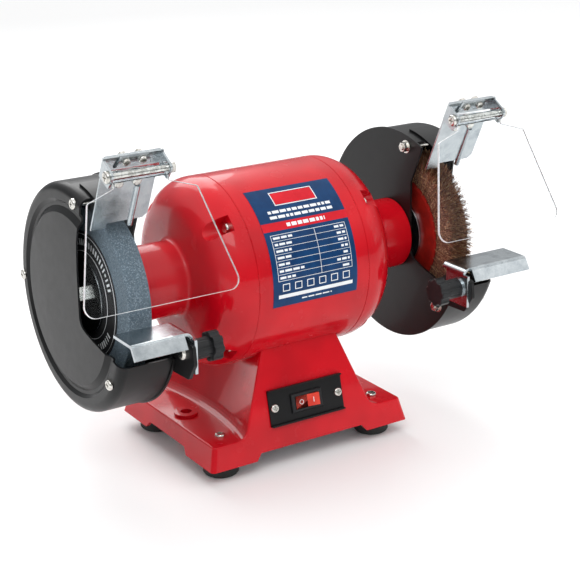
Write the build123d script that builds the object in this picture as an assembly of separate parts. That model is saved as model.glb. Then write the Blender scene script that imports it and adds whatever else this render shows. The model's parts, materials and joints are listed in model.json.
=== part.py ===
from build123d import *
import os
from math import atan, cos, degrees, radians, sin, tan

# Bench grinder with a grinding wheel on the left and a wire wheel on the right.
# Millimetres. X runs along the shaft, -Y is the side where the user stands, +Z is up.
# Heights are drawn from the bench; shaft pieces and guards are drawn about the shaft.
# Every piece is saved from the casting's underside, midway between the two bench-bolt holes.

# ---- shaft position ----
shaft_height = 163.0
shaft_y = -4.0

# ---- motor ----
motor_radius = 82.5
motor_wall = 4.0
housing_half = 55.0
shoulder_radius = 30.0
shoulder_start = 58.0
neck_radius = 32.0
neck_end = 139.5
neck_wall = 4.5
neck_root = 3.5
seam_chamfer = 0.6
stator_radius = motor_radius - 18.5
stator_half = 30.0
stator_bore = 33.0
slot_count = 24
rotor_radius = 32.4
rotor_half = 30.0
coil_reach = 16.0
coil_inset = 3.5
coil_round = 0.32
cage_ring = 6.0
through_bolt_circle = motor_radius - 9.5
through_bolt_angles = (45, 135, 225, 315)
through_bolt_radius = 2.5
pocket_radius = 7.5
pocket_seat = 66.0

# ---- shaft and bearings ----
shaft_core_radius = 9.0
bearing_bore_radius = 7.5
bearing_outer_radius = 17.5
bearing_width = 11.0
bearing_start = 123.0
inner_race_wall = 2.3
outer_race_wall = 3.3
ball_gap = 0.1
ball_count = 8
arbor_radius = 6.35
arbor_start = 146.5
thread_radius = 6.0
thread_start = 171.5
shaft_end = 184.5
running_gap = 0.05
wave_washer_thickness = 0.8
wave_washer_width = 4.6
wave_washer_gap = 0.4

# ---- wheels ----
wheel_radius = 75.0
wheel_width = 20.0
wheel_inner_face = 150.5
wheel_edge_round = 1.0
blotter_radius = 54.0
blotter_thickness = 0.5
flange_radius = 31.0
flange_relief_radius = 22.0
flange_outer_thickness = 4.0
wire_plate_radius = 51.0
wire_plate_sheet = 1.5
wire_rim_flare = 4.0
wire_root_radius = 46.0
nut_across_flats = 19.0
nut_height = 8.0

# ---- wheel guards ----
wheel_room = 21.0
guard_band_radius = wheel_radius + wheel_room
guard_plate_radius = guard_band_radius + 1.5
guard_plate_sheet = 2.0
guard_sheet = 1.6
guard_face = 188.0
guard_rim_round = 8.0
guard_groove_radius = guard_band_radius - 16.0
guard_dome_radius = guard_band_radius - 24.0
guard_dome_rise = 2.5
cover_screw_circle = guard_band_radius - 8.5
cover_screw_angles = (104.0, 216.0, 358.0)
cover_screw_radius = 2.5
cover_screw_head_radius = 4.6
neck_screw_circle = 24.0
neck_screw_angles = (45, 135, 225, 315)
neck_screw_radius = 2.5
mouth_back = -25.0
mouth_floor_back = -15.0
mouth_floor_front = -35.0
mouth_corner_round = 10.0

# ---- tool rests ----
table_top = -6.0
table_sheet = 2.5
table_wheel_gap = 7.0
table_back = -wheel_radius - table_wheel_gap
table_front = table_back - 29.0
lip_front = table_front - 6.0
lip_drop = 10.0
table_reach = {"left": 188.5, "right": 204.0}
fold_radius = 6.0
lip_radius = 4.0
bracket_sheet = 3.0
rest_bolt_y = table_back - 22.0
rest_bolt_z = -24.0
rest_bolt_radius = 3.0
rest_travel_in = 3.5
rest_travel_out = 6.0
tab_back = table_back - 6.0
tab_front = lip_front
tab_drop = 33.0
washer_radius = 9.0
washer_thickness = 1.5
knob_shank_radius = 8.5
knob_shank_length = 15.0
knob_head_radius = 12.3
knob_head_length = 9.0
knob_lobes = 8

# ---- spark deflectors ----
guard_middle = 164.0
deflector_width = 48.0
deflector_wheel_gap = 9.9
deflector_foot_angle = 124.44
deflector_lean = 25.5
deflector_length = 72.0
deflector_sheet = 1.5
deflector_step = 5.0
deflector_step_width = 13.0
deflector_rib_radius = 2.4
deflector_rib_length = 39.5
deflector_travel = 6.0
angle_sheet = 2.0
angle_width = 26.0
angle_band_from = 96.0
angle_band_to = 113.5
deflector_screw_along = 44.5
deflector_screw_radius = 2.0

# ---- eye shields ----
pivot_along = 63.25
pivot_reach = 14.15
ear_reach = 8.5
shield_tilt = 21.0
shield_sheet = 2.5
shield_barrel_radius = 5.0
shield_neck_half = 23.6
shield_neck_end = 9.2
shield_shoulder_half = 47.0
shield_shoulder_at = 17.0
shield_bottom_half = 68.5
shield_length = 101.0
shield_corner = 9.0
pivot_bolt_radius = 2.5
ear_sheet = 1.8
ear_gap = 0.4
web_low = 55.0
web_high = 72.0
clamp_low = 62.5
clamp_high = 73.5
clamp_half_low = 16.0
clamp_half_high = 12.0
clamp_sheet = 2.0
clamp_screw_half = 7.0
clamp_screw_along = 68.0
clamp_screw_radius = 2.0

# ---- base ----
foot_height = 12.8
base_half_width = 101.5
base_half_depth = 81.5
skirt_height = 20.3
face_slope = 0.236
side_slope = 0.38
pedestal_half_foot = 66.5
pedestal_waist = 11.0
pedestal_blend = 12.0
flare_steps = 6
casting_round = 1.5
base_wall = 3.5
base_corner = 4.0
notch_half = 52.0
side_notch_half = 31.0
notch_height = 6.0
bench_hole_x = base_half_width - 21.5
bench_hole_radius = 5.0
boss_radius = 10.5
boss_rise = 2.4
foot_x = base_half_width - 22.5
foot_y = 57.0
foot_radius = 15.5
foot_screw_radius = 2.5
foot_post_radius = 7.0
bottom_cover_sheet = 1.5

# ---- switch ----
plate_x = -2.0
plate_width = 75.0
plate_height = 32.0
plate_centre_z = 53.0
plate_sheet = 1.5
plate_flange = 4.0
plate_screw_half = 32.5
bezel_width = 31.0
bezel_height = 16.5
bezel_rise = 2.2
switch_body_width = 28.0
switch_body_height = 13.6
switch_body_depth = 21.0
rocker_radius = 12.0
rocker_height = 10.6
rocker_tilt = 8.0
rocker_pivot_depth = 0.5
rocker_gap = 0.35
rocker_pin_radius = 1.2
rocker_pin_reach = 0.9

# ---- electrical pieces in the base ----
gland_z = 56.0
gland_x = -30.0
gland_radius = 8.0
cord_hole_radius = 3.6
capacitor_radius = 17.5
capacitor_length = 62.0
capacitor_lift = 1.0

# ---- rating label ----
label_half = 42.0
label_from = -10.0
label_to = 63.4
label_sheet = 0.3

joint_gap = 0.05

AT_SHAFT = Location((0, shaft_y, shaft_height))
FROM_UNDERSIDE = Location((0, 0, -foot_height))
platform_z = foot_height + skirt_height
inner_race = bearing_bore_radius + inner_race_wall
outer_race = bearing_outer_radius - outer_race_wall
ball_pitch = (inner_race + outer_race) / 2
ball_radius = (outer_race - inner_race) / 2 - ball_gap
flange_inner_thickness = wheel_inner_face - arbor_start
plate_outer_x = neck_end + guard_plate_sheet
tab_inner_x = neck_end - bracket_sheet - running_gap
lean = radians(deflector_lean)
DEFLECTOR_UP = Vector(0, -sin(lean), cos(lean))
DEFLECTOR_BACK = Vector(0, cos(lean), sin(lean))
deflector_foot_radius = wheel_radius + deflector_wheel_gap
DEFLECTOR_FOOT = Vector(0, deflector_foot_radius, 0).rotate(Axis.X, deflector_foot_angle)
PIVOT = DEFLECTOR_FOOT + DEFLECTOR_UP * pivot_along - DEFLECTOR_BACK * pivot_reach
pivot_y, pivot_z = PIVOT.Y, PIVOT.Z


# ------------------------------------------------------------------ helpers
def block(x0, x1, y0, y1, z0, z1):
    """A box between two corners."""
    centre = ((x0 + x1) / 2, (y0 + y1) / 2, (z0 + z1) / 2)
    return Pos(*centre) * Box(abs(x1 - x0), abs(y1 - y0), abs(z1 - z0))


def rod_x(radius, x0, x1, y=0.0, z=0.0):
    """A round bar along X from x0 to x1."""
    return Pos((x0 + x1) / 2, y, z) * Rot(0, 90, 0) * Cylinder(radius, abs(x1 - x0))


def rod_z(radius, z0, z1, x=0.0, y=0.0):
    """A round bar along Z from z0 to z1."""
    return Pos(x, y, (z0 + z1) / 2) * Cylinder(radius, abs(z1 - z0))


def tube_x(outer, inner, x0, x1, y=0.0, z=0.0):
    """A round tube along X."""
    return rod_x(outer, x0, x1, y, z) - rod_x(inner, x0 - 1, x1 + 1, y, z)


def outline(*points, rounds=()):
    """A closed face through the points, with chosen corners rounded."""
    face = make_face(Polyline(*points, close=True))
    for corner, radius in rounds:
        vertex = face.vertices().sort_by_distance((*corner, 0))[0]
        face = fillet(vertex, radius)
    return face


def turned(*points, rounds=()):
    """A piece turned about X from its (x, radius) outline."""
    return revolve(outline(*points, rounds=rounds), Axis.X)


def slab_x(face, x0, x1):
    """A (y, z) outline made solid from x0 to x1."""
    return Pos(x0, 0, 0) * extrude(Plane.YZ * face, x1 - x0)


def slab_y(face, y0, y1):
    """A (x, z) outline made solid from y0 to y1."""
    return extrude(Plane((0, y1, 0), x_dir=(1, 0, 0), z_dir=(0, -1, 0)) * face, y1 - y0)


def bent_sheet(thickness, radius, *points):
    """The section of a sheet bent along the points."""
    return trace(FilletPolyline(*points, radius=radius), line_width=thickness)


def hexagon_x(flats, x0, x1, y=0.0, z=0.0):
    """A hexagonal bar along X."""
    face = Pos(y, z) * RegularPolygon(flats / 2, 6, major_radius=False)
    return slab_x(face, x0, x1)


def around(radius, angle):
    """The (y, z) of a point on a circle about the shaft, 0 degrees at +Y and 90 at the top."""
    return radius * cos(radians(angle)), radius * sin(radians(angle))


def other_side(shape):
    """The mirror image of a piece across the middle of the grinder."""
    return mirror(shape, Plane.YZ)


def at_shaft(*shapes):
    """Pieces drawn about the shaft, moved to its place."""
    return [AT_SHAFT * shape for shape in shapes]


def on_deflector(along, depth):
    """A (y, z) point on the deflector: along it from its foot, and depth behind its back face."""
    point = DEFLECTOR_FOOT + DEFLECTOR_UP * along + DEFLECTOR_BACK * depth
    return point.Y, point.Z


def deflector_plane(x, depth=0.0):
    """A plane on the deflector's back face: local x is X, local y runs up the sheet."""
    origin = DEFLECTOR_FOOT + DEFLECTOR_BACK * depth + Vector(x, 0, 0)
    return Plane(origin, x_dir=(1, 0, 0), z_dir=-DEFLECTOR_BACK)


def save(node, *shapes):
    """Writes one node's solids to its STEP file."""
    solids = [FROM_UNDERSIDE * solid for shape in shapes for solid in shape.solids()]
    whole = solids[0] if len(solids) == 1 else Compound(solids)
    export_step(whole, f"parts/{node}.step")


# ------------------------------------------------------------------ base
def face_depth(z, inset=0.0):
    """How far the sloping front and back faces stand from the middle at height z."""
    return base_half_depth - inset - face_slope * (z - foot_height)


def skirt(inset=0.0):
    """The low sloping block that carries the four feet."""
    top = platform_z - inset
    low_width = base_half_width - inset
    high_width = low_width - face_slope * skirt_height
    low_z = foot_height if inset == 0 else foot_height - 1
    low = RectangleRounded(2 * low_width, 2 * face_depth(foot_height, inset), base_corner)
    high = RectangleRounded(2 * high_width, 2 * face_depth(platform_z, inset), base_corner)
    return loft([Pos(0, 0, low_z) * low, Pos(0, 0, top) * high])


def pedestal_section(z, inset=0.0, spread=0.0):
    """The pedestal's level section, run past the front and back, with its hollow sides."""
    depth = face_depth(z, inset) + base_wall
    half = pedestal_half_foot - inset + spread - side_slope * (z - platform_z)
    waist = half - pedestal_waist
    lines = [
        Line((-half, -depth), (half, -depth)),
        ThreePointArc((half, -depth), (waist, 0), (half, depth)),
        Line((half, depth), (-half, depth)),
        ThreePointArc((-half, depth), (-waist, 0), (-half, -depth)),
    ]
    return Pos(0, 0, z) * make_face(lines)


def between_faces(inset=0.0):
    """The space between the sloping front and back faces."""
    low, high = foot_height, shaft_height
    ends = [(z, Rectangle(3 * base_half_width, 2 * face_depth(z, inset))) for z in (low, high)]
    return loft([Pos(0, 0, z) * face for z, face in ends])


def flare_sections():
    """The pedestal's sections through the round blend that meets the foot platforms."""
    turn = 90 - degrees(atan(side_slope))
    reach = pedestal_blend * tan(radians(turn / 2))
    sections = []
    for step in range(flare_steps + 1):
        angle = radians(turn * step / flare_steps)
        rise = pedestal_blend * (1 - cos(angle))
        spread = reach - pedestal_blend * sin(angle) + side_slope * rise
        sections.append(pedestal_section(platform_z + rise, spread=spread))
    return sections


def pedestal():
    """The column between the skirt and the motor, with its corner edges rounded."""
    top = pedestal_section(shaft_height - motor_radius / 2)
    flare = flare_sections()
    root = Pos(0, 0, -2 * casting_round) * flare[0]
    column = loft([root, *flare, top], ruled=True) & between_faces()
    corners = [edge for edge in column.edges() if is_pedestal_corner(edge)]
    return fillet(corners, casting_round)


def is_pedestal_corner(edge):
    """Whether an edge climbs between a flat face and a hollow side."""
    middle = edge.center()
    climbs = abs((edge @ 0).Z - (edge @ 1).Z) > 0.01
    return climbs and abs(abs(middle.Y) - face_depth(middle.Z)) < 0.3


def pedestal_hollow():
    """The space inside the pedestal."""
    low = platform_z - base_wall - 1
    high = shaft_height - motor_radius / 2
    ends = [pedestal_section(low, base_wall), pedestal_section(high, base_wall)]
    return loft(ends, ruled=True) & between_faces(base_wall)


def motor_clearance(radius):
    """The round of the motor, cut out of what stands under it."""
    return rod_x(radius, -base_half_width, base_half_width, shaft_y, shaft_height)


def bench_bosses():
    """Raised seats for the bench bolts, with their posts down to the underside."""
    top = platform_z + boss_rise
    return [rod_z(boss_radius, foot_height, top, side * bench_hole_x) for side in (-1, 1)]


def foot_places():
    """The (x, y) of the four feet."""
    return [(sx * foot_x, sy * foot_y) for sx in (-1, 1) for sy in (-1, 1)]


def make_base():
    """The painted casting, saved as its skirt and its hollow-sided pedestal."""
    rim = skirt().edges().group_by(Axis.Z)[-1]
    outside = fillet(rim, casting_round) + pedestal()
    outside -= motor_clearance(motor_radius + joint_gap)
    inside = skirt(base_wall) + pedestal_hollow()
    inside -= motor_clearance(motor_radius + base_wall)
    body = outside - inside
    for post in bench_bosses():
        body += post
    for x, y in foot_places():
        body += rod_z(foot_post_radius, foot_height, platform_z - base_wall / 2, x, y)
        body -= rod_z(foot_screw_radius + joint_gap, 0, platform_z + boss_rise, x, y)
    for x in (-bench_hole_x, bench_hole_x):
        body -= rod_z(bench_hole_radius, 0, platform_z + 2 * boss_rise, x)
    body -= edge_notches()
    body -= switch_plane() * Box(
        switch_body_width + 1, switch_body_height + 1, 4 * base_wall
    )
    for side in (-1, 1):
        body -= switch_plane() * Pos(side * plate_screw_half) * Cylinder(1.6, 4 * base_wall)
    body -= gland_bore()
    for x, y in motor_screw_places():
        body -= rod_z(3.0, platform_z, shaft_height, x, y)
    reach = base_half_width + 1
    above = body & block(-reach, reach, -reach, reach, platform_z, shaft_height)
    column = above.solids().sort_by(SortBy.VOLUME)[-1]
    return [body - column, column]


def edge_notches():
    """Shallow arches along the bottom edges of the skirt, which leave four corner feet."""
    high = foot_height + notch_height
    front = outline(
        (-notch_half - notch_height, foot_height - 1),
        (-notch_half, high),
        (notch_half, high),
        (notch_half + notch_height, foot_height - 1),
    )
    side = outline(
        (-side_notch_half - notch_height, foot_height - 1),
        (-side_notch_half, high),
        (side_notch_half, high),
        (side_notch_half + notch_height, foot_height - 1),
    )
    reach = base_half_width + 5
    front_rim = slab_y(front, -reach, -base_half_depth + 3 * base_wall)
    side_rim = slab_x(side, -reach, -base_half_width + 3 * base_wall)
    return front_rim + mirror(front_rim, Plane.XZ) + side_rim + other_side(side_rim)


def make_bottom_cover():
    """A flat sheet that closes the base from below, held by the feet."""
    half_x = base_half_width - base_wall - 2
    half_y = base_half_depth - base_wall - 2
    top = foot_height + notch_height + 2
    sheet = block(-half_x, half_x, -half_y, half_y, top, top + bottom_cover_sheet)
    for x, y in foot_places():
        sheet -= rod_z(foot_post_radius + 0.5, 0, 2 * top, x, y)
    for x in (-bench_hole_x, bench_hole_x):
        sheet -= rod_z(boss_radius + 0.5, 0, 2 * top, x)
    return sheet & skirt(base_wall + 1)


def make_foot(x, y):
    """A turned rubber foot with a recess for the end of its screw."""
    face = outline(
        (foot_screw_radius + joint_gap, 4.0),
        (5.5, 4.0),
        (5.5, 0.0),
        (foot_radius - 1.5, 0.0),
        (foot_radius, 2.0),
        (foot_radius - 1.0, foot_height - joint_gap),
        (foot_screw_radius + joint_gap, foot_height - joint_gap),
        rounds=(((foot_radius - 1.5, 0.0), 1.5),),
    )
    return Pos(x, y, 0) * revolve(Plane.XZ * face, Axis.Z)


def make_foot_screw(x, y):
    """A pan-head screw that passes through the platform into the foot, with its nut."""
    shank = rod_z(foot_screw_radius, 1.0, platform_z, x, y)
    head = rod_z(4.6, platform_z, platform_z + 2.6, x, y)
    head = fillet(head.edges().group_by(Axis.Z)[-1], 1.6)
    slot = block(x - 2.6, x + 2.6, y - 0.5, y + 0.5, platform_z + 1.4, platform_z + 4)
    slot += block(x - 0.5, x + 0.5, y - 2.6, y + 2.6, platform_z + 1.4, platform_z + 4)
    nut = Pos(x, y, 1.2) * extrude(RegularPolygon(4.0, 6, major_radius=False), 2.7)
    return shank + head - slot + nut


# ------------------------------------------------------------------ switch
def switch_plane():
    """The pedestal's sloping front face: local x is X, local y runs up the face."""
    tilt = atan(face_slope)
    origin = (plate_x, -face_depth(plate_centre_z), plate_centre_z)
    return Plane(origin, x_dir=(1, 0, 0), z_dir=(0, -cos(tilt), sin(tilt)))


def make_switch_plate():
    """A folded channel that carries the switch."""
    half = plate_height / 2
    web = Pos(0, 0, plate_sheet / 2) * Box(plate_width, plate_height, plate_sheet)
    for side in (-1, 1):
        middle = side * (half - plate_sheet / 2)
        web += Pos(0, middle, plate_flange / 2) * Box(plate_width, plate_sheet, plate_flange)
    web -= Box(switch_body_width + 0.6, switch_body_height + 0.6, 10)
    for side in (-1, 1):
        web -= Pos(side * plate_screw_half) * Cylinder(2.0 + joint_gap, 10)
    corners = web.edges().filter_by(Axis.Z)
    outer = [e for e in corners if abs(abs(e.center().X) - plate_width / 2) < 0.01]
    return switch_plane() * fillet([e for e in outer if e.length > plate_sheet], 0.6)


def make_plate_screw(side):
    """A cross-head screw of the switch plate."""
    head = Pos(0, 0, plate_sheet + 1.2) * Cylinder(3.8, 2.4)
    head = fillet(head.edges().group_by(Axis.Z)[-1], 1.5)
    shank = Pos(0, 0, -3.0) * Cylinder(1.55, 2 * plate_sheet + 6.0)
    cross = Pos(0, 0, plate_sheet + 2.2) * (Box(4.4, 0.8, 1.6) + Box(0.8, 4.4, 1.6))
    return switch_plane() * Pos(side * plate_screw_half) * (head + shank - cross)


def make_switch_housing():
    """The switch's moulded body with its bezel and round-bottomed rocker well."""
    bezel = Box(bezel_width, bezel_height, bezel_rise, align=(Align.CENTER, Align.CENTER, Align.MIN))
    bezel = chamfer(bezel.edges().group_by(Axis.Z)[-1], 0.8)
    body = Box(
        switch_body_width,
        switch_body_height,
        switch_body_depth,
        align=(Align.CENTER, Align.CENTER, Align.MAX),
    )
    well_radius = rocker_radius + rocker_gap
    well_width = rocker_height + 2 * rocker_gap
    well = Rot(90, 0, 0) * Cylinder(well_radius, well_width)
    mouth_height = bezel_rise + rocker_pivot_depth + 1
    well += Pos(0, 0, mouth_height / 2) * Box(2 * well_radius, well_width, mouth_height)
    pins = rocker_height + 2 * rocker_pin_reach + 0.4
    well += Rot(90, 0, 0) * Cylinder(rocker_pin_radius + running_gap, pins)
    whole = bezel + body - Pos(0, 0, -rocker_pivot_depth) * well
    for x in (-7, 0, 7):
        whole += Pos(x, 0, -switch_body_depth - 4) * Box(0.8, 4.8, 9)
    return switch_plane() * Pos(0, 0, plate_sheet) * whole


def make_rocker():
    """The rocker, off: its left half level with the bezel and its right half raised."""
    top = rocker_pivot_depth + bezel_rise
    side = rocker_radius + 1
    above = outline(
        (-side, top),
        (0, top),
        (side, top + side * tan(radians(2 * rocker_tilt))),
        (side, 2 * side),
        (-side, 2 * side),
    )
    paddle = Rot(90, 0, 0) * Cylinder(rocker_radius, rocker_height)
    paddle -= slab_y(above, -rocker_height, rocker_height)
    paddle += Rot(90, 0, 0) * Cylinder(rocker_pin_radius, rocker_height + 2 * rocker_pin_reach)
    return switch_plane() * Pos(0, 0, plate_sheet - rocker_pivot_depth) * paddle


# ------------------------------------------------------------------ motor
def make_motor_housing():
    """The middle ring of the motor, with ribs that hold the stator."""
    shell = turned(
        (-housing_half, motor_radius - seam_chamfer),
        (-housing_half + seam_chamfer, motor_radius),
        (housing_half - seam_chamfer, motor_radius),
        (housing_half, motor_radius - seam_chamfer),
        (housing_half, motor_radius - motor_wall),
        (-housing_half, motor_radius - motor_wall),
    )
    ribs = []
    for angle in (0, 90, 180, 270):
        rib = block(
            -stator_half, stator_half, -5, 5, stator_radius - 3, motor_radius - motor_wall / 2
        )
        ribs.append(Rot(angle, 0, 0) * rib)
    for rib in ribs:
        shell += rib
    shell -= rod_x(stator_radius, -stator_half - 1, stator_half + 1)
    for x, y in motor_screw_places():
        shell -= rod_z(2.5, -motor_radius - 5, -stator_radius - 6, x, y - shaft_y)
    return shell


def motor_screw_places():
    """The (x, y) of the two screws that hold the motor down on the pedestal."""
    return [(-18.0, shaft_y), (18.0, shaft_y)]


def make_motor_screw(x, y):
    """A hexagon screw from inside the pedestal up into the motor's bottom rib."""
    seat = shaft_height - motor_radius - base_wall
    shank = rod_z(2.5, seat, seat + 14, x, y)
    head = Pos(x, y, seat - 4) * extrude(RegularPolygon(4.0, 6, major_radius=False), 4)
    return shank + head


def make_bell(side):
    """An end bell, saved as its cup and its neck, which holds the bearing."""
    inner = motor_radius - motor_wall
    face_x = shoulder_start + shoulder_radius
    bearing_stop = bearing_start + bearing_width + wave_washer_thickness
    bell = turned(
        (housing_half + joint_gap, inner),
        (housing_half + joint_gap, motor_radius - seam_chamfer),
        (housing_half + seam_chamfer, motor_radius),
        (face_x, motor_radius),
        (face_x + 3, neck_radius),
        (neck_end, neck_radius),
        (neck_end, bearing_bore_radius + 1.5),
        (bearing_stop, bearing_bore_radius + 1.5),
        (bearing_stop, bearing_outer_radius),
        (bearing_start, bearing_outer_radius),
        (bearing_start, neck_radius - neck_wall),
        (face_x - motor_wall, neck_radius - neck_wall),
        (face_x - motor_wall, inner),
        rounds=(
            ((face_x, motor_radius), shoulder_radius),
            ((face_x + 3, neck_radius), 4.0),
            ((neck_end, neck_radius), 1.5),
            ((face_x - motor_wall, inner), shoulder_radius - motor_wall),
        ),
    )
    for angle in through_bolt_angles:
        y, z = around(through_bolt_circle, angle)
        seat = rod_x(pocket_radius + 3, housing_half + joint_gap, pocket_seat, y, z)
        wall = rod_x(pocket_radius + 2.5, pocket_seat - 1, face_x, y, z)
        inside_bell = turned(
            (housing_half + joint_gap, 0),
            (housing_half + joint_gap, motor_radius - 0.5),
            (face_x - 0.5, motor_radius - 0.5),
            (face_x - 0.5, 0),
            rounds=(((face_x - 0.5, motor_radius - 0.5), shoulder_radius),),
        )
        bell += (seat + wall) & inside_bell
        bell -= rod_x(pocket_radius, pocket_seat, face_x + 10, y, z)
        notch = Rot(angle, 0, 0) * block(
            pocket_seat, face_x + 10, through_bolt_circle, motor_radius + 5, -pocket_radius, pocket_radius
        )
        bell -= notch
        bell -= rod_x(through_bolt_radius + joint_gap, housing_half - 1, pocket_seat + 1, y, z)
    for angle in neck_screw_angles:
        y, z = around(neck_screw_circle, angle)
        bell -= rod_x(neck_screw_radius, neck_end - 14, neck_end + 1, y, z)
    root = face_x + neck_root
    cup = bell & rod_x(2 * motor_radius, 0, root)
    neck = bell & rod_x(2 * motor_radius, root, neck_end + 1)
    return [cup, neck] if side > 0 else [other_side(cup), other_side(neck)]


def make_through_bolt(angle):
    """A long screw that draws the two bells against the housing."""
    y, z = around(through_bolt_circle, angle)
    shank = rod_x(through_bolt_radius, -pocket_seat, pocket_seat + 6, y, z)
    head = rod_x(4.8, -pocket_seat - 3.4, -pocket_seat, y, z)
    head = fillet(head.edges().group_by(Axis.X)[0], 1.6)
    nut = hexagon_x(8.0, pocket_seat, pocket_seat + 4, y, z)
    return shank + head + nut


def make_stator():
    """The laminated stack with its winding slots."""
    core = tube_x(stator_radius - joint_gap, stator_bore, -stator_half, stator_half)
    for i in range(slot_count):
        slot = block(-stator_half - 1, stator_half + 1, -2.0, 2.0, stator_bore + 3, stator_bore + 16)
        mouth = block(-stator_half - 1, stator_half + 1, -0.8, 0.8, stator_bore - 1, stator_bore + 4)
        core -= Rot(i * 360 / slot_count, 0, 0) * (slot + mouth)
    return core


def make_coil(side):
    """One end of the windings, taped into a ring."""
    near = stator_half + 1
    far = near + coil_reach
    low = stator_bore + coil_inset
    high = stator_radius - 8
    end_round = coil_round * (high - low - 4)
    ring = turned(
        (near, low),
        (near, high),
        (far, high - 2),
        (far, low + 2),
        rounds=(((far, high - 2), end_round), ((far, low + 2), end_round)),
    )
    return ring if side > 0 else other_side(ring)


def make_rotor_core():
    """The laminated rotor, pressed on the shaft."""
    return tube_x(rotor_radius, shaft_core_radius, -rotor_half, rotor_half)


def make_cage_ring(side):
    """An end ring of the rotor's cast cage with its cooling fins."""
    ring = tube_x(rotor_radius - 1.5, shaft_core_radius + 6, rotor_half, rotor_half + cage_ring)
    for i in range(8):
        fin = block(rotor_half + cage_ring - 1, rotor_half + cage_ring + 5, -1.0, 1.0, 17, 28)
        ring += Rot(i * 45, 0, 0) * fin
    return ring if side > 0 else other_side(ring)


def make_label():
    """The blank rating label, rolled round the housing's front."""
    band = tube_x(motor_radius + joint_gap + label_sheet, motor_radius + joint_gap, -label_half, label_half)
    reach = 2 * motor_radius
    low = Rot(-label_from, 0, 0) * block(-reach, reach, -reach, 0, 0, reach)
    high = Rot(-label_to, 0, 0) * block(-reach, reach, -reach, 0, -reach, 0)
    return band & low & high


# ------------------------------------------------------------------ shaft and bearings
def make_shaft():
    """The stepped shaft with a threaded end for each wheel."""
    half = [
        (0, 0),
        (0, shaft_core_radius),
        (bearing_start, shaft_core_radius),
        (bearing_start, bearing_bore_radius),
        (arbor_start, bearing_bore_radius),
        (arbor_start, arbor_radius),
        (thread_start, arbor_radius),
        (thread_start, thread_radius),
        (shaft_end - 1, thread_radius),
        (shaft_end, thread_radius - 1),
        (shaft_end, 0),
    ]
    right = turned(*half)
    return right + other_side(right)


def make_bearing_ring(outer, inner, side):
    """One ring of a ball bearing."""
    ring = tube_x(outer, inner, bearing_start, bearing_start + bearing_width)
    return ring if side > 0 else other_side(ring)


def make_balls():
    """The balls of both bearings."""
    middle = bearing_start + bearing_width / 2
    balls = []
    for side in (-1, 1):
        for i in range(ball_count):
            y, z = around(ball_pitch, i * 360 / ball_count)
            balls.append(Pos(side * middle, y, z) * Sphere(ball_radius))
    return balls


def make_wave_washer():
    """The spring washer that takes up the end play, at the right bearing."""
    start = bearing_start + bearing_width
    outer = bearing_outer_radius - wave_washer_gap
    return tube_x(outer, outer - wave_washer_width, start, start + wave_washer_thickness)


# ------------------------------------------------------------------ wheels
def make_flange(inner_face, thickness, facing):
    """A pressed wheel flange, relieved in the middle of the side that grips."""
    flange = turned(
        (0, arbor_radius + running_gap),
        (0, flange_radius),
        (thickness * 0.6, flange_radius),
        (thickness, flange_relief_radius),
        (thickness, arbor_radius + running_gap),
    )
    relief = rod_x(flange_relief_radius, -1, 1.0) - rod_x(arbor_radius + 5, -1, 1.0)
    flange -= relief
    if facing < 0:
        flange = other_side(flange)
    return Pos(inner_face, 0, 0) * flange


def make_grinding_wheel():
    """The vitrified wheel on the left, with the arbor hole."""
    bore = arbor_radius + running_gap
    near = (-wheel_inner_face, wheel_radius)
    far = (-wheel_inner_face - wheel_width, wheel_radius)
    rounds = ((near, wheel_edge_round), (far, wheel_edge_round))
    return turned((near[0], bore), near, far, (far[0], bore), rounds=rounds)


def make_blotters():
    """The paper washers on both faces of the grinding wheel."""
    bore = arbor_radius + running_gap
    inner = tube_x(blotter_radius, bore, -wheel_inner_face, -wheel_inner_face + blotter_thickness)
    far = -wheel_inner_face - wheel_width
    outer = tube_x(blotter_radius, bore, far - blotter_thickness, far)
    return [inner, outer]


def make_wire_ring():
    """The wires as one ring, flared towards the rim."""
    near = wheel_inner_face + wire_plate_sheet
    far = wheel_inner_face + wheel_width - wire_plate_sheet
    return turned(
        (near, wire_root_radius),
        (near, wire_plate_radius),
        (near - wire_rim_flare, wheel_radius - 3),
        (near - wire_rim_flare + 1.5, wheel_radius),
        (far + wire_rim_flare - 1.5, wheel_radius),
        (far + wire_rim_flare, wheel_radius - 3),
        (far, wire_plate_radius),
        (far, wire_root_radius),
    )


def make_wire_plates():
    """The two dished side plates that clamp the wires, with the hub between them."""
    bore = arbor_radius + running_gap
    near = wheel_inner_face
    far = wheel_inner_face + wheel_width
    plates = []
    for edge, step in ((near, 1), (far, -1)):
        plate = turned(
            (edge, bore),
            (edge, wire_plate_radius - 3),
            (edge + step * wire_plate_sheet * 0.6, wire_plate_radius),
            (edge + step * wire_plate_sheet, wire_plate_radius),
            (edge + step * wire_plate_sheet, bore),
        )
        plates.append(plate)
    hub = tube_x(wire_root_radius, bore, near + wire_plate_sheet, far - wire_plate_sheet)
    return plates + [hub]


def make_arbor_nut(side):
    """The hexagon nut that holds a wheel on, with its washer face."""
    start = wheel_inner_face + wheel_width + flange_outer_thickness
    if side < 0:
        start += blotter_thickness
    end = start + nut_height
    nut = hexagon_x(nut_across_flats, start, end)
    cone = turned((start, 0), (start, 11), (end - 1.2, 11), (end, 9), (end, 0))
    nut = (nut & cone) - rod_x(thread_radius + joint_gap, start - 1, end + 1)
    return nut if side > 0 else other_side(nut)


# ------------------------------------------------------------------ wheel guards
def mouth(back, top_back):
    """The part of a guard that is cut away for the work."""
    far = -2 * guard_plate_radius
    return outline(
        (back, mouth_floor_back),
        (back, guard_plate_radius * 0.55),
        (top_back, guard_plate_radius * 0.86),
        (top_back * 1.2, guard_plate_radius * 1.3),
        (far, guard_plate_radius * 1.3),
        (far, mouth_floor_front - 28),
        (-guard_plate_radius, mouth_floor_front),
        (-48.0, -22.5),
        rounds=(((back, mouth_floor_back), mouth_corner_round), ((-48.0, -22.5), 20.0)),
    )


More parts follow.
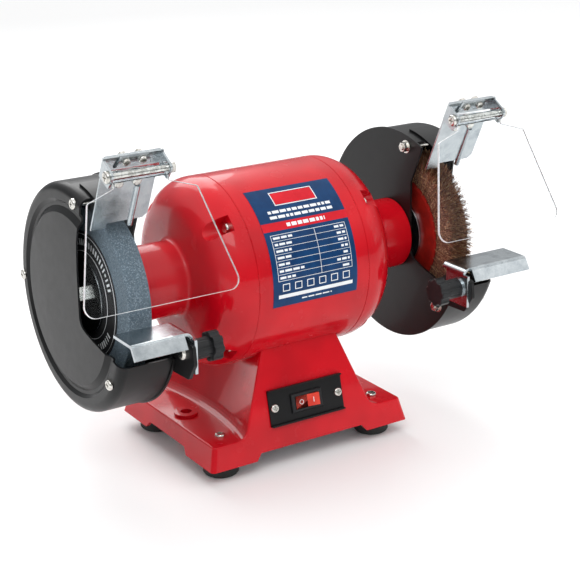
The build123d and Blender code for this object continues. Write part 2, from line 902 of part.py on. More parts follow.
def make_guard_plate():
    """The flat back plate on the right, screwed to the motor's neck."""
    plate = rod_x(guard_plate_radius, neck_end, plate_outer_x)
    plate -= slab_x(mouth(-28.0, -42.0), neck_end - 1, plate_outer_x + 1)
    plate -= rod_x(flange_radius / 2, neck_end - 1, plate_outer_x + 1)
    for angle in cover_screw_angles:
        y, z = around(cover_screw_circle, angle)
        plate -= rod_x(cover_screw_radius + joint_gap, neck_end - 1, plate_outer_x + 1, y, z)
    for angle in neck_screw_angles:
        y, z = around(neck_screw_circle, angle)
        plate -= rod_x(neck_screw_radius + joint_gap, neck_end - 1, plate_outer_x + 1, y, z)
    return plate


def make_guard_cover():
    """The deep-drawn cover on the right: band, rounded rim, groove and shallow dome."""
    band = guard_band_radius
    face = guard_face
    inside = face - guard_sheet
    start = plate_outer_x + joint_gap
    drum = turned(
        (start, band),
        (face, band),
        (face, guard_groove_radius + 3),
        (face - 2.2, guard_groove_radius),
        (face - 2.2, guard_groove_radius - 3),
        (face + 1.2, guard_dome_radius),
        (face + guard_dome_rise, 40),
        (face + guard_dome_rise, 0),
        (inside + guard_dome_rise, 0),
        (inside + guard_dome_rise, 40),
        (inside + 1.2, guard_dome_radius - guard_sheet / 2),
        (inside - 2.2, guard_groove_radius - 3 - guard_sheet / 2),
        (inside - 2.2, guard_groove_radius + guard_sheet / 2),
        (inside, guard_groove_radius + 3 + guard_sheet / 2),
        (inside, band - guard_sheet),
        (start, band - guard_sheet),
        rounds=(
            ((face, band), guard_rim_round),
            ((inside, band - guard_sheet), guard_rim_round - guard_sheet),
        ),
    )
    drum -= slab_x(mouth(mouth_back, -31.0), start - 1, face + 10)
    for angle in cover_screw_angles:
        y, z = around(cover_screw_circle, angle)
        drum -= rod_x(cover_screw_radius + joint_gap, inside - 3, face + 1, y, z)
    return drum


def make_cover_screw(angle):
    """A long screw through the guard, from the cover's face to the back plate."""
    y, z = around(cover_screw_circle, angle)
    shank = rod_x(cover_screw_radius, neck_end - 6.5, guard_face + 1, y, z)
    head = rod_x(cover_screw_head_radius, guard_face, guard_face + 2.6, y, z)
    head = fillet(head.edges().group_by(Axis.X)[-1], 1.8)
    cross = Pos(guard_face + 2.6, y, z) * (Box(2.4, 4.6, 0.9) + Box(2.4, 0.9, 4.6))
    return shank + head - cross


def make_cover_nut(angle):
    """The nut and washer of a cover screw, on the motor side of the back plate."""
    y, z = around(cover_screw_circle, angle)
    bore = rod_x(cover_screw_radius + joint_gap, neck_end - 8, neck_end + 1, y, z)
    washer = rod_x(6.0, neck_end - 1.0, neck_end, y, z) - bore
    nut = hexagon_x(8.0, neck_end - 5.2, neck_end - 1.0, y, z) - bore
    return washer + nut


def make_neck_screw(angle):
    """A screw that holds the back plate to the neck, headed inside the guard."""
    y, z = around(neck_screw_circle, angle)
    shank = rod_x(neck_screw_radius, neck_end - 12, plate_outer_x, y, z)
    head = rod_x(4.4, plate_outer_x, plate_outer_x + 2.2, y, z)
    return shank + head


# ------------------------------------------------------------------ tool rests
def make_rest_bracket():
    """The black bracket, spot-welded to the back plate on the right, that carries the rest."""
    top = table_top - table_sheet - fold_radius
    low_front = (table_back - 29.0, -45.0)
    front = (table_back - 39.0, -30.0)
    high_front = (table_back - 37.0, top)
    face = outline(
        (table_back + 22.0, -44.0),
        (table_back - 2.0, -46.0),
        low_front,
        front,
        high_front,
        (table_back - 8.0, top),
        (table_back + 20.0, -32.0),
        rounds=((low_front, 3.0), (front, 4.0), (high_front, 3.0)),
    )
    bracket = slab_x(face, neck_end - bracket_sheet, neck_end)
    hole = rod_x(rest_bolt_radius + joint_gap, neck_end - 10, neck_end + 1, rest_bolt_y, rest_bolt_z)
    return bracket - hole


def make_tool_rest(side_name):
    """The folded rest: flat table, drooping front lip, and the slotted tab."""
    middle = table_top - table_sheet / 2
    tab_x = tab_inner_x - table_sheet / 2
    reach = table_reach[side_name]
    section = bent_sheet(
        table_sheet,
        lip_radius,
        (table_back, middle),
        (table_front, middle),
        (lip_front, middle - lip_drop),
    )
    table = slab_x(section, neck_end + 3, reach)
    fold = bent_sheet(
        table_sheet,
        fold_radius,
        (neck_end + 12, middle),
        (tab_x, middle),
        (tab_x, table_top - tab_drop),
    )
    rest = table + slab_y(fold, tab_front + 6.5, table_back)
    rest += slab_y(fold, tab_front, tab_back) & block(
        0, tab_inner_x, tab_front, tab_back, table_top - tab_drop, middle - 1.5 * table_sheet
    )
    rest -= block(tab_x - 5, tab_inner_x + 1, tab_back, 0, table_top - tab_drop - 1, table_top - 5)
    slot_back = rest_bolt_y + rest_travel_out
    slot_front = rest_bolt_y - rest_travel_in
    width = rest_bolt_radius + 0.2
    slot = block(tab_x - 5, tab_x + 5, slot_front, slot_back, rest_bolt_z - width, rest_bolt_z + width)
    slot += rod_x(width, tab_x - 5, tab_x + 5, slot_front, rest_bolt_z)
    slot += rod_x(width, tab_x - 5, tab_x + 5, slot_back, rest_bolt_z)
    return rest - slot


def make_rest_bolt():
    """The round-headed bolt through the bracket and the rest's slot."""
    knob_end = tab_inner_x - table_sheet - washer_thickness - knob_shank_length
    shank = rod_x(rest_bolt_radius, knob_end + 2, neck_end + 0.5, rest_bolt_y, rest_bolt_z)
    head = rod_x(6.0, neck_end, neck_end + 3.2, rest_bolt_y, rest_bolt_z)
    return shank + fillet(head.edges().group_by(Axis.X)[-1], 2.4)


def make_rest_washer():
    """The washer between the rest's tab and the knob."""
    outer = tab_inner_x - table_sheet - running_gap
    inner = outer - washer_thickness
    return tube_x(washer_radius, rest_bolt_radius + joint_gap, inner, outer, rest_bolt_y, rest_bolt_z)


def make_knob():
    """The lobed clamping knob with a ribbed neck."""
    start = tab_inner_x - table_sheet - washer_thickness - 2 * running_gap
    neck_stop = start - knob_shank_length
    end = neck_stop - knob_head_length
    knob = rod_x(knob_shank_radius, neck_stop, start) + rod_x(knob_head_radius, end, neck_stop)
    for i in range(knob_lobes):
        y, z = around(knob_head_radius + 2.2, (i + 0.5) * 360 / knob_lobes)
        knob -= rod_x(3.8, end - 1, neck_stop, y, z)
        y, z = around(knob_shank_radius + 1.2, (i + 0.5) * 360 / knob_lobes)
        knob -= rod_x(1.8, neck_stop, start - 2, y, z)
    knob = chamfer(knob.edges().group_by(Axis.X)[0], 0.8)
    knob -= rod_x(rest_bolt_radius + running_gap, neck_stop + 1, start + 1)
    return Pos(0, rest_bolt_y, rest_bolt_z) * knob


# ------------------------------------------------------------------ spark deflectors
def make_deflector(mirrored):
    """The zinc plate in front of the wheel's top; its rib and step are on the same hand on both sides."""
    half = deflector_width / 2
    step_x = -half + deflector_step_width
    face = outline(
        (-half, 0),
        (step_x, 0),
        (step_x, deflector_step),
        (half - 4, deflector_step),
        (half, deflector_step + 4),
        (half, deflector_length),
        (-half, deflector_length),
    )
    centre = -guard_middle if mirrored else guard_middle
    sheet = deflector_plane(centre) * extrude(face, deflector_sheet)
    rib_x = centre + half * 0.4
    rib = deflector_plane(rib_x) * Pos(0, 0, deflector_sheet) * Rot(-90, 0, 0) * Cylinder(
        deflector_rib_radius, deflector_rib_length, align=(Align.CENTER, Align.CENTER, Align.MIN)
    )
    plate = sheet + (rib - deflector_plane(rib_x) * Pos(0, 0, -10 + deflector_sheet / 2) * Box(99, 400, 20))
    slots = deflector_slots(centre)
    holes = [
        deflector_plane(centre + sx * clamp_screw_half) * Pos(0, clamp_screw_along) * Cylinder(
            clamp_screw_radius + joint_gap, 20
        )
        for sx in (-1, 1)
    ]
    for cut in slots + holes:
        plate -= cut
    return plate


def deflector_slots(centre):
    """The two slots that let the deflector follow the wheel as it wears."""
    slots = []
    for side in (-1, 1):
        plane = deflector_plane(centre + side * angle_width * 0.3)
        width = 2 * (deflector_screw_radius + 0.15)
        length = deflector_travel + 0.6
        slot = Pos(0, deflector_screw_along + length / 2 - 0.3) * Box(width, length, 20)
        ends = [
            Pos(0, deflector_screw_along + offset) * Cylinder(width / 2, 20)
            for offset in (-0.3, length - 0.3)
        ]
        slots.append(plane * (slot + ends[0] + ends[1]))
    return slots


def make_deflector_angle():
    """The fixed angle on the guard's band behind the right deflector."""
    inner = guard_band_radius + joint_gap
    middle = inner + angle_sheet / 2
    depth = joint_gap + angle_sheet / 2
    begin = around(middle, angle_band_from)
    between = around(middle, (angle_band_from + angle_band_to) / 2)
    finish = around(middle, angle_band_to)
    turn = radians(angle_band_to)
    tangent = (-sin(turn), cos(turn))
    top = on_deflector(web_low - 1.0, depth)
    low = crossing(finish, tangent, on_deflector(0, depth), (DEFLECTOR_UP.Y, DEFLECTOR_UP.Z))
    curve = ThreePointArc(begin, between, finish)
    leg = FilletPolyline(finish, low, top, radius=2.5)
    section = trace(Wire([curve, *leg.edges()]), line_width=angle_sheet)
    angle = slab_x(section, guard_middle - angle_width / 2, guard_middle + angle_width / 2)
    for side in (-1, 1):
        x = guard_middle + side * angle_width * 0.3
        angle -= deflector_plane(x) * Pos(0, deflector_screw_along) * Cylinder(deflector_screw_radius, 20)
    return angle


def crossing(p, along_p, q, along_q):
    """Where two lines in the (y, z) plane meet."""
    det = along_p[0] * -along_q[1] + along_q[0] * along_p[1]
    t = ((q[0] - p[0]) * -along_q[1] + along_q[0] * (q[1] - p[1])) / det
    return p[0] + t * along_p[0], p[1] + t * along_p[1]


def make_deflector_screw(centre, side):
    """A screw that clamps the deflector to its angle."""
    front = deflector_sheet + running_gap
    head = Pos(0, 0, front) * Cylinder(3.8, 2.2, align=(Align.CENTER, Align.CENTER, Align.MIN))
    head = fillet(head.edges().group_by(Axis.Z)[-1], 1.2)
    shank = Pos(0, 0, front + 1) * Cylinder(
        deflector_screw_radius, front + angle_sheet + 3, align=(Align.CENTER, Align.CENTER, Align.MAX)
    )
    x = centre + side * angle_width * 0.3
    return deflector_plane(x) * Pos(0, deflector_screw_along) * (head + shank)


# ------------------------------------------------------------------ eye shields
def ear_outline():
    """The pointed ear of the shield bracket, drawn about the pivot."""
    front = (pivot_y - ear_reach, pivot_z + 2.0)
    low = (pivot_y + 1.0, pivot_z - ear_reach - 1.0)
    return outline(
        on_deflector(web_low, -deflector_sheet),
        on_deflector(web_high - 1, -deflector_sheet),
        front,
        low,
        rounds=((front, 3.0), (low, 2.0)),
    )


def make_shield_bracket():
    """The U bracket on the right: a web against the deflector and two pointed ears."""
    inner = shield_neck_half + ear_gap
    outer = inner + ear_sheet
    web_face = outline((-outer, web_low), (outer, web_low), (outer, web_high), (-outer, web_high))
    depth = -deflector_sheet
    bracket = deflector_plane(guard_middle, depth) * extrude(web_face, ear_sheet)
    for x0 in (guard_middle - outer, guard_middle + inner):
        bracket += slab_x(ear_outline(), x0, x0 + ear_sheet)
    bracket -= rod_x(pivot_bolt_radius + joint_gap, 0, 2 * guard_face, pivot_y, pivot_z)
    for side in (-1, 1):
        plane = deflector_plane(guard_middle + side * clamp_screw_half)
        bracket -= plane * Pos(0, clamp_screw_along) * Cylinder(clamp_screw_radius + joint_gap, 20)
    return bracket


def make_clamp_plate():
    """The bevelled plate under the two clamp screws."""
    face = outline(
        (-clamp_half_low, clamp_low),
        (clamp_half_low, clamp_low),
        (clamp_half_high, clamp_high),
        (-clamp_half_high, clamp_high),
    )
    depth = -deflector_sheet - ear_sheet
    plate = deflector_plane(guard_middle, depth) * extrude(face, clamp_sheet)
    front = plate.faces().sort_by(lambda f: f.center().dot(-DEFLECTOR_BACK))[-1]
    plate = chamfer(front.edges(), 0.9)
    for side in (-1, 1):
        plane = deflector_plane(guard_middle + side * clamp_screw_half)
        plate -= plane * Pos(0, clamp_screw_along) * Cylinder(clamp_screw_radius + joint_gap, 20)
    return plate


def make_clamp_screw(side):
    """A clamp screw with its nut behind the deflector."""
    front = deflector_sheet + ear_sheet + clamp_sheet
    head = Pos(0, 0, front) * Cylinder(3.4, 2.0, align=(Align.CENTER, Align.CENTER, Align.MIN))
    head = fillet(head.edges().group_by(Axis.Z)[-1], 1.1)
    cross = Pos(0, 0, front + 1.8) * (Box(4.0, 0.8, 1.6) + Box(0.8, 4.0, 1.6))
    shank = Pos(0, 0, front + 0.5) * Cylinder(
        clamp_screw_radius, front + 5, align=(Align.CENTER, Align.CENTER, Align.MAX)
    )
    nut = Pos(0, 0, -3.2) * extrude(RegularPolygon(3.5, 6, major_radius=False), 3.2)
    plane = deflector_plane(guard_middle + side * clamp_screw_half)
    return plane * Pos(0, clamp_screw_along) * (head - cross + shank + nut)


def make_shield():
    """The clear shield on the right: hinge barrel, neck, sloping shoulders and window."""
    tilt = radians(shield_tilt)
    plane = Plane(
        (guard_middle, pivot_y, pivot_z), x_dir=(1, 0, 0), z_dir=(0, -cos(tilt), sin(tilt))
    )
    face = outline(
        (-shield_neck_half, 0),
        (-shield_neck_half, -shield_neck_end),
        (-shield_shoulder_half, -shield_shoulder_at),
        (-shield_bottom_half, -shield_length),
        (shield_bottom_half, -shield_length),
        (shield_shoulder_half, -shield_shoulder_at),
        (shield_neck_half, -shield_neck_end),
        (shield_neck_half, 0),
        rounds=(
            ((-shield_bottom_half, -shield_length), shield_corner),
            ((shield_bottom_half, -shield_length), shield_corner),
            ((-shield_shoulder_half, -shield_shoulder_at), 3.0),
            ((shield_shoulder_half, -shield_shoulder_at), 3.0),
        ),
    )
    window = plane * Pos(0, 0, -shield_sheet / 2) * extrude(face, shield_sheet)
    left, right = guard_middle - shield_neck_half, guard_middle + shield_neck_half
    barrel = rod_x(shield_barrel_radius, left, right, pivot_y, pivot_z)
    shield = window + barrel
    return shield - rod_x(pivot_bolt_radius + running_gap, 0, 2 * guard_face, pivot_y, pivot_z)


def make_pivot():
    """The shield's pivot bolt and its lock nut, on the right."""
    inner = shield_neck_half + ear_gap
    outer = inner + ear_sheet
    head_x = guard_middle - outer
    shank = rod_x(pivot_bolt_radius, head_x - 0.5, guard_middle + outer + 5.5, pivot_y, pivot_z)
    head = rod_x(5.0, head_x - 2.8, head_x, pivot_y, pivot_z)
    head = fillet(head.edges().group_by(Axis.X)[0], 1.8)
    cross = Pos(head_x - 2.6, pivot_y, pivot_z) * (Box(2.2, 5.4, 1.0) + Box(2.2, 1.0, 5.4))
    bolt = shank + head - cross
    nut_x = guard_middle + outer
    nut = hexagon_x(8.0, nut_x, nut_x + 4.5, pivot_y, pivot_z)
    nut -= rod_x(pivot_bolt_radius + joint_gap, nut_x - 1, nut_x + 6, pivot_y, pivot_z)
    return bolt, nut


# ------------------------------------------------------------------ electrical pieces
def gland_axis_y():
    """How far back the back wall's outer face stands at the gland."""
    return face_depth(gland_z)


def gland_plane():
    """The pedestal's sloping back face at the gland, looking out."""
    tilt = atan(face_slope)
    return Plane((gland_x, gland_axis_y(), gland_z), x_dir=(-1, 0, 0), z_dir=(0, cos(tilt), sin(tilt)))


def gland_bore():
    """The hole for the cable gland."""
    return gland_plane() * Cylinder(gland_radius + joint_gap, 6 * base_wall)


def make_gland():
    """The cable gland with its inside nut; the cord itself isn't part of the model."""
    upward = (Align.CENTER, Align.CENTER, Align.MIN)
    downward = (Align.CENTER, Align.CENTER, Align.MAX)
    body = Cylinder(gland_radius, base_wall + 8, align=downward)
    flange = Cylinder(gland_radius + 2.5, 2.5, align=upward)
    nose = Pos(0, 0, 2.5) * Cone(gland_radius, gland_radius - 2.5, 9, align=upward)
    nut = Pos(0, 0, -base_wall - 5.2) * extrude(RegularPolygon(11, 6, major_radius=False), 4)
    nut -= Cylinder(gland_radius + joint_gap, 60)
    bore = Cylinder(cord_hole_radius, 80)
    return gland_plane() * (flange + nose + body - bore), gland_plane() * nut


def make_capacitor():
    """The run capacitor, lying across the back of the base on the bottom cover."""
    floor = foot_height + notch_height + 2 + bottom_cover_sheet
    z = floor + capacitor_radius + capacitor_lift
    start = -capacitor_length / 2
    can = rod_x(capacitor_radius, start, -start, 38, z)
    can = fillet(can.edges(), 1.5)
    tags = block(-start - 1, -start + 8, 34, 35, z - 3, z + 3)
    tags += block(-start - 1, -start + 8, 41, 42, z - 3, z + 3)
    feet = block(start + 8, start + 20, 30, 46, floor + joint_gap, z - capacitor_radius + 2)
    feet += block(-start - 20, -start - 8, 30, 46, floor + joint_gap, z - capacitor_radius + 2)
    return can + tags + feet


def make_terminal_block():
    """A three-way terminal block on the bottom cover."""
    floor = foot_height + notch_height + 2 + bottom_cover_sheet + joint_gap
    strip = block(-20, 20, -12, 4, floor, floor + 13)
    for x in (-13, 0, 13):
        strip -= block(x - 4, x + 4, -14, -6, floor + 3, floor + 9)
        strip -= block(x - 4, x + 4, -2, 6, floor + 3, floor + 9)
        strip -= rod_z(2.2, floor + 9, floor + 14, x, -9)
        strip -= rod_z(2.2, floor + 9, floor + 14, x, 1)
    return strip


# ------------------------------------------------------------------ build
def build_base_group():
    """The base, its feet, and what is screwed into it."""
    save("base_casting", *make_base())
    save("base_bottom_cover", make_bottom_cover())
    save("rubber_feet", *[make_foot(x, y) for x, y in foot_places()])
    save("foot_screws", *[make_foot_screw(x, y) for x, y in foot_places()])
    save("switch_plate", make_switch_plate())
    save("switch_plate_screws", make_plate_screw(-1), make_plate_screw(1))
    save("switch_housing", make_switch_housing())
    save("switch_rocker", make_rocker())
    save("cable_gland", *make_gland())
    save("capacitor", make_capacitor())
    save("terminal_block", make_terminal_block())


def build_motor_group():
    """The motor's fixed pieces."""
    save("motor_housing", *at_shaft(make_motor_housing()))
    save("end_bell_left", *at_shaft(*make_bell(-1)))
    save("end_bell_right", *at_shaft(*make_bell(1)))
    save("through_bolts", *at_shaft(*[make_through_bolt(a) for a in through_bolt_angles]))
    save("motor_mount_screws", *[make_motor_screw(x, y) for x, y in motor_screw_places()])
    save("stator_core", *at_shaft(make_stator()))
    save("windings", *at_shaft(make_coil(-1), make_coil(1)))
    save("rating_label", *at_shaft(make_label()))
    outer = (bearing_outer_radius, outer_race)
    save("bearing_outer_rings", *at_shaft(*[make_bearing_ring(*outer, s) for s in (-1, 1)]))
    save("bearing_balls", *at_shaft(*make_balls()))
    save("wave_washer", *at_shaft(make_wave_washer()))


def build_rotor_group():
    """Everything that turns with the shaft."""
    save("shaft", *at_shaft(make_shaft()))
    save("rotor_core", *at_shaft(make_rotor_core()))
    save("rotor_cage", *at_shaft(make_cage_ring(-1), make_cage_ring(1)))
    inner = (inner_race, bearing_bore_radius)
    save("bearing_inner_rings", *at_shaft(*[make_bearing_ring(*inner, s) for s in (-1, 1)]))
    save("grinding_wheel", *at_shaft(make_grinding_wheel()))
    save("wheel_blotters", *at_shaft(*make_blotters()))
    save("wire_ring", *at_shaft(make_wire_ring()))
    save("wire_side_plates", *at_shaft(*make_wire_plates()))
    far = wheel_inner_face + wheel_width
    left_far = far + blotter_thickness
    flanges = [
        make_flange(-wheel_inner_face + blotter_thickness, flange_inner_thickness - blotter_thickness, 1),
        make_flange(-left_far, flange_outer_thickness, -1),
        make_flange(wheel_inner_face, flange_inner_thickness, -1),
        make_flange(far, flange_outer_thickness, 1),
    ]
    save("wheel_flanges", *at_shaft(*flanges))
    save("arbor_nuts", *at_shaft(make_arbor_nut(-1), make_arbor_nut(1)))


def build_guard_group():
    """The guards with their screws, and the brackets fixed to them."""
    plate, cover = make_guard_plate(), make_guard_cover()
    save("guard_plate_right", *at_shaft(plate))
    save("guard_plate_left", *at_shaft(other_side(plate)))
    save("guard_cover_right", *at_shaft(cover))
    save("guard_cover_left", *at_shaft(other_side(cover)))
    screws = [make_cover_screw(a) for a in cover_screw_angles]
    nuts = [make_cover_nut(a) for a in cover_screw_angles]
    neck = [make_neck_screw(a) for a in neck_screw_angles]
    save("guard_cover_screws", *at_shaft(*screws, *map(other_side, screws)))
    save("guard_cover_nuts", *at_shaft(*nuts, *map(other_side, nuts)))
    save("guard_neck_screws", *at_shaft(*neck, *map(other_side, neck)))
    bracket, angle = make_rest_bracket(), make_deflector_angle()
    save("rest_brackets", *at_shaft(bracket, other_side(bracket)))
    save("deflector_angles", *at_shaft(angle, other_side(angle)))
    holders = [make_deflector_screw(c, s) for c in (-guard_middle, guard_middle) for s in (-1, 1)]
    save("deflector_screws", *at_shaft(*holders))
    bolt, washer = make_rest_bolt(), make_rest_washer()
    save("rest_bolts", *at_shaft(bolt, other_side(bolt)))
    save("rest_washers", *at_shaft(washer, other_side(washer)))


def build_adjusting_group():
    """The pieces that the user moves: rests, knobs, deflectors and shields."""
    knob = make_knob()
    save("tool_rest_right", *at_shaft(make_tool_rest("right")))
    save("tool_rest_left", *at_shaft(other_side(make_tool_rest("left"))))
    save("rest_knob_right", *at_shaft(knob))
    save("rest_knob_left", *at_shaft(other_side(knob)))
    save("spark_deflector_right", *at_shaft(make_deflector(False)))
    save("spark_deflector_left", *at_shaft(make_deflector(True)))
    pieces = {
        "shield_bracket": [make_shield_bracket()],
        "clamp_plate": [make_clamp_plate()],
        "clamp_screws": [make_clamp_screw(-1), make_clamp_screw(1)],
        "shield_pivot": list(make_pivot()),
        "eye_shield": [make_shield()],
    }
    shift = Pos(-2 * guard_middle, 0, 0)
    for name, solids in pieces.items():
        save(f"{name}_right", *at_shaft(*solids))
        save(f"{name}_left", *at_shaft(*[shift * solid for solid in solids]))


def main():
    """Writes every node."""
    os.makedirs("parts", exist_ok=True)
    build_base_group()
    build_motor_group()
    build_rotor_group()
    build_guard_group()
    build_adjusting_group()


main()
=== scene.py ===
# %% [markdown]
# # A bench grinder with a grinding wheel and a wire wheel
# The machine's solid pieces come ready-made from its design model, the frame.
# Blender adds what a design model leaves out: painted, plated, ground and moulded surfaces, softened
# edges, real wires in the wire wheel, print on the labels, light and a camera.
# Every length is in metres, in the same frame as the design: X along the shaft, -Y towards the user.

# %% Load the frame
import json
import random
from math import atan, cos, pi, radians, sin, tan

import bmesh
import bpy
from mathutils import Matrix, Vector

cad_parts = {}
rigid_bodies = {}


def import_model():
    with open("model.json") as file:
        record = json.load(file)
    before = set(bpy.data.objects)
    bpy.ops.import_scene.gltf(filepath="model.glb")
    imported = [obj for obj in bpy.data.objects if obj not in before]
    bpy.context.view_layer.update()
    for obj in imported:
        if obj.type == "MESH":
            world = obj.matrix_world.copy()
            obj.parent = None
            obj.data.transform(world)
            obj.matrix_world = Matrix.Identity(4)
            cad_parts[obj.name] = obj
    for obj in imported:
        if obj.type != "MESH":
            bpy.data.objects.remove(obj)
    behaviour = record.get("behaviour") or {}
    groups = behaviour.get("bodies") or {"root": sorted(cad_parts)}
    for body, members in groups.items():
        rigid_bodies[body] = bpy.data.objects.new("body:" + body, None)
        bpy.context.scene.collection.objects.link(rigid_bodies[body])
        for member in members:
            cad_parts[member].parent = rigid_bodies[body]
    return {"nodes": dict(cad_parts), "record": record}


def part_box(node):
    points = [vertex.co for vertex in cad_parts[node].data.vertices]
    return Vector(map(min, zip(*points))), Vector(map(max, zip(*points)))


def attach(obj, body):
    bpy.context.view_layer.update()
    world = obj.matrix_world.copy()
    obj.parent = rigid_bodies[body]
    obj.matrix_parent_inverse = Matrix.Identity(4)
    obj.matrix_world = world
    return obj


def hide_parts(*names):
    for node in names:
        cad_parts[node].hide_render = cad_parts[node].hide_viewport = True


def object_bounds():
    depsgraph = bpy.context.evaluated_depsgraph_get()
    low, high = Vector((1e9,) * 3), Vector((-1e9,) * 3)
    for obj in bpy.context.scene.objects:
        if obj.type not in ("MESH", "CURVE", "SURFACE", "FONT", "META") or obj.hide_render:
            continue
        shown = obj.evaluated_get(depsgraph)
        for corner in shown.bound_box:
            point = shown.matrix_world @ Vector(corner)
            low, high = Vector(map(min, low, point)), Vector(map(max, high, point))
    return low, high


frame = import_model()
cad_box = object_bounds()
MM = 0.001
NODES = frame["nodes"]
BODY_OF = {node: body for body, members in frame["record"]["behaviour"]["bodies"].items() for node in members}
SLOT_OF = {part["node"]: part["material_slot"] for part in frame["record"]["subparts"]}
print(len(NODES), "nodes in the frame")


# %% [markdown]
# ## Places that everything else is measured from
# The grinding wheel is centred on the shaft, so the middle of its box gives the shaft's axis.
# The wheels' flat sides give the planes that labels and plates sit on. Nothing is typed in twice.

# %% Key places
def centre_of(node):
    """The middle of a node's box."""
    low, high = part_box(node)
    return (low + high) / 2


SHAFT = Vector((0, centre_of("grinding_wheel").y, centre_of("grinding_wheel").z))
WHEEL_LOW, WHEEL_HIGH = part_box("grinding_wheel")
WHEEL_RADIUS = (WHEEL_HIGH.z - WHEEL_LOW.z) / 2
print("shaft at y", round(SHAFT.y, 4), "z", round(SHAFT.z, 4), "wheel radius", round(WHEEL_RADIUS, 4))


# %% [markdown]
# ## Small helpers for shaping
# Operators act on whatever is selected, so each step starts by deselecting everything.
# Faces and edges are picked in code by where they are, the way you would click them by hand.

# %% Selecting and finishing
def select_only(*objects):
    """Makes these objects the only selected ones, and the last one active."""
    bpy.ops.object.select_all(action="DESELECT")
    for item in objects:
        item.select_set(True)
    bpy.context.view_layer.objects.active = objects[-1]


def edit(piece, mode="FACE"):
    """Enters edit mode on a piece with nothing selected."""
    select_only(piece)
    bpy.ops.object.mode_set(mode="EDIT")
    bpy.ops.mesh.select_mode(type=mode)
    bpy.ops.mesh.select_all(action="DESELECT")


def done():
    """Leaves edit mode."""
    bpy.ops.object.mode_set(mode="OBJECT")


def pick(piece, kind, test):
    """Selects the faces, edges or verts of the piece in edit mode whose centre passes the test."""
    mesh = bmesh.from_edit_mesh(piece.data)
    for item in getattr(mesh, kind):
        if kind == "verts":
            place = item.co
        elif kind == "edges":
            place = (item.verts[0].co + item.verts[1].co) / 2
        else:
            place = item.calc_center_median()
        if test(item, place):
            item.select_set(True)
    bmesh.update_edit_mesh(piece.data)


def apply_modifier(piece, kind, **settings):
    """Adds a modifier with its settings and applies it."""
    select_only(piece)
    modifier = piece.modifiers.new(kind.title(), kind)
    for name, value in settings.items():
        setattr(modifier, name, value)
    bpy.ops.object.modifier_apply(modifier=modifier.name)


def soften(piece, width, segments=2, angle=30):
    """Rounds the piece's sharp edges, shades its curved faces smooth and keeps its large faces flat."""
    apply_modifier(
        piece,
        "BEVEL",
        width=width,
        segments=segments,
        limit_method="ANGLE",
        angle_limit=radians(angle),
        miter_outer="MITER_ARC",
    )
    bpy.ops.object.shade_smooth_by_angle(angle=radians(angle))
    apply_modifier(piece, "WEIGHTED_NORMAL", keep_sharp=True)


def settle(piece, name):
    """Names a new piece and puts its place into its mesh."""
    piece.name = name
    piece.data.name = name
    select_only(piece)
    bpy.ops.object.transform_apply(location=True, rotation=True, scale=True)
    return piece


def dress(piece, body, slot, material, *replaced):
    """Gives a piece its body and material, and hides the nodes that it stands for. The slot is not used."""
    piece.data.materials.clear()
    piece.data.materials.append(material)
    for polygon in piece.data.polygons:
        polygon.material_index = 0
    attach(piece, body)
    if replaced:
        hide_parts(*replaced)
    return piece


def copy_node(node, name):
    """A copy of a node with its loose triangles merged and its flat areas made whole faces."""
    select_only(NODES[node])
    bpy.ops.object.duplicate()
    piece = bpy.context.object
    bpy.ops.object.parent_clear(type="CLEAR_KEEP_TRANSFORM")
    for key in [key for key in piece.keys() if key.startswith("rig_")]:
        del piece[key]
    piece.data = piece.data.copy()
    if piece.data.has_custom_normals:
        bpy.ops.mesh.customdata_custom_splitnormals_clear()
    edit(piece, "VERT")
    bpy.ops.mesh.select_all(action="SELECT")
    bpy.ops.mesh.remove_doubles(threshold=0.002 * MM)
    bpy.ops.mesh.dissolve_limited(angle_limit=radians(1.0))
    done()
    return settle(piece, name)


# %% [markdown]
# ## Small helpers for materials
# Colours are written the way a paint program shows them and turned to linear light by one function.
# One more function adds any shader node with its settings and links, so that each material below reads
# as a short recipe.

# %% Colours and nodes
def linear(code, alpha=1.0):
    """A #RRGGBB colour in linear light."""
    parts = [int(code[i : i + 2], 16) / 255 for i in (1, 3, 5)]
    return tuple(c / 12.92 if c <= 0.04045 else ((c + 0.055) / 1.055) ** 2.4 for c in parts) + (alpha,)


def add(tree, kind, inputs=(), **settings):
    """Adds a shader node, sets it, and fills or links its inputs."""
    made = tree.nodes.new("ShaderNode" + kind)
    for name, value in settings.items():
        setattr(made, name, value)
    for name, value in dict(inputs).items():
        socket = made.inputs[name]
        if isinstance(value, bpy.types.NodeSocket):
            tree.links.new(value, socket)
        else:
            socket.default_value = value
    return made


def start(name, **constants):
    """A new material whose shader has these constant values; gives it, its tree, shader and coordinates."""
    material = bpy.data.materials.new(name)
    material.use_nodes = True
    tree = material.node_tree
    tree.nodes.clear()
    shader = add(tree, "BsdfPrincipled")
    for key, value in constants.items():
        shader.inputs[key.replace("_", " ")].default_value = value
    output = add(tree, "OutputMaterial")
    tree.links.new(shader.outputs["BSDF"], output.inputs["Surface"])
    place = add(tree, "TexCoord").outputs["Object"]
    return material, tree, shader, place


def noise(tree, place, size, detail=3.0, roughness=0.55):
    """A noise whose lumps are about this many millimetres across."""
    inputs = {"Vector": place, "Scale": 1 / (size * MM), "Detail": detail, "Roughness": roughness}
    return add(tree, "TexNoise", inputs)


def ramp(tree, value, *stops, ease="LINEAR"):
    """A colour ramp through (position, colour) stops."""
    made = add(tree, "ValToRGB", {"Fac": value})
    made.color_ramp.interpolation = ease
    elements = made.color_ramp.elements
    while len(elements) < len(stops):
        elements.new(0.5)
    for element, (position, colour) in zip(elements, stops):
        element.position = position
        element.color = colour
    return made.outputs["Color"]


def spread(tree, value, low, high):
    """A value from 0 to 1 mapped to the range from low to high."""
    return add(tree, "MapRange", {"Value": value, "To Min": low, "To Max": high}).outputs["Result"]


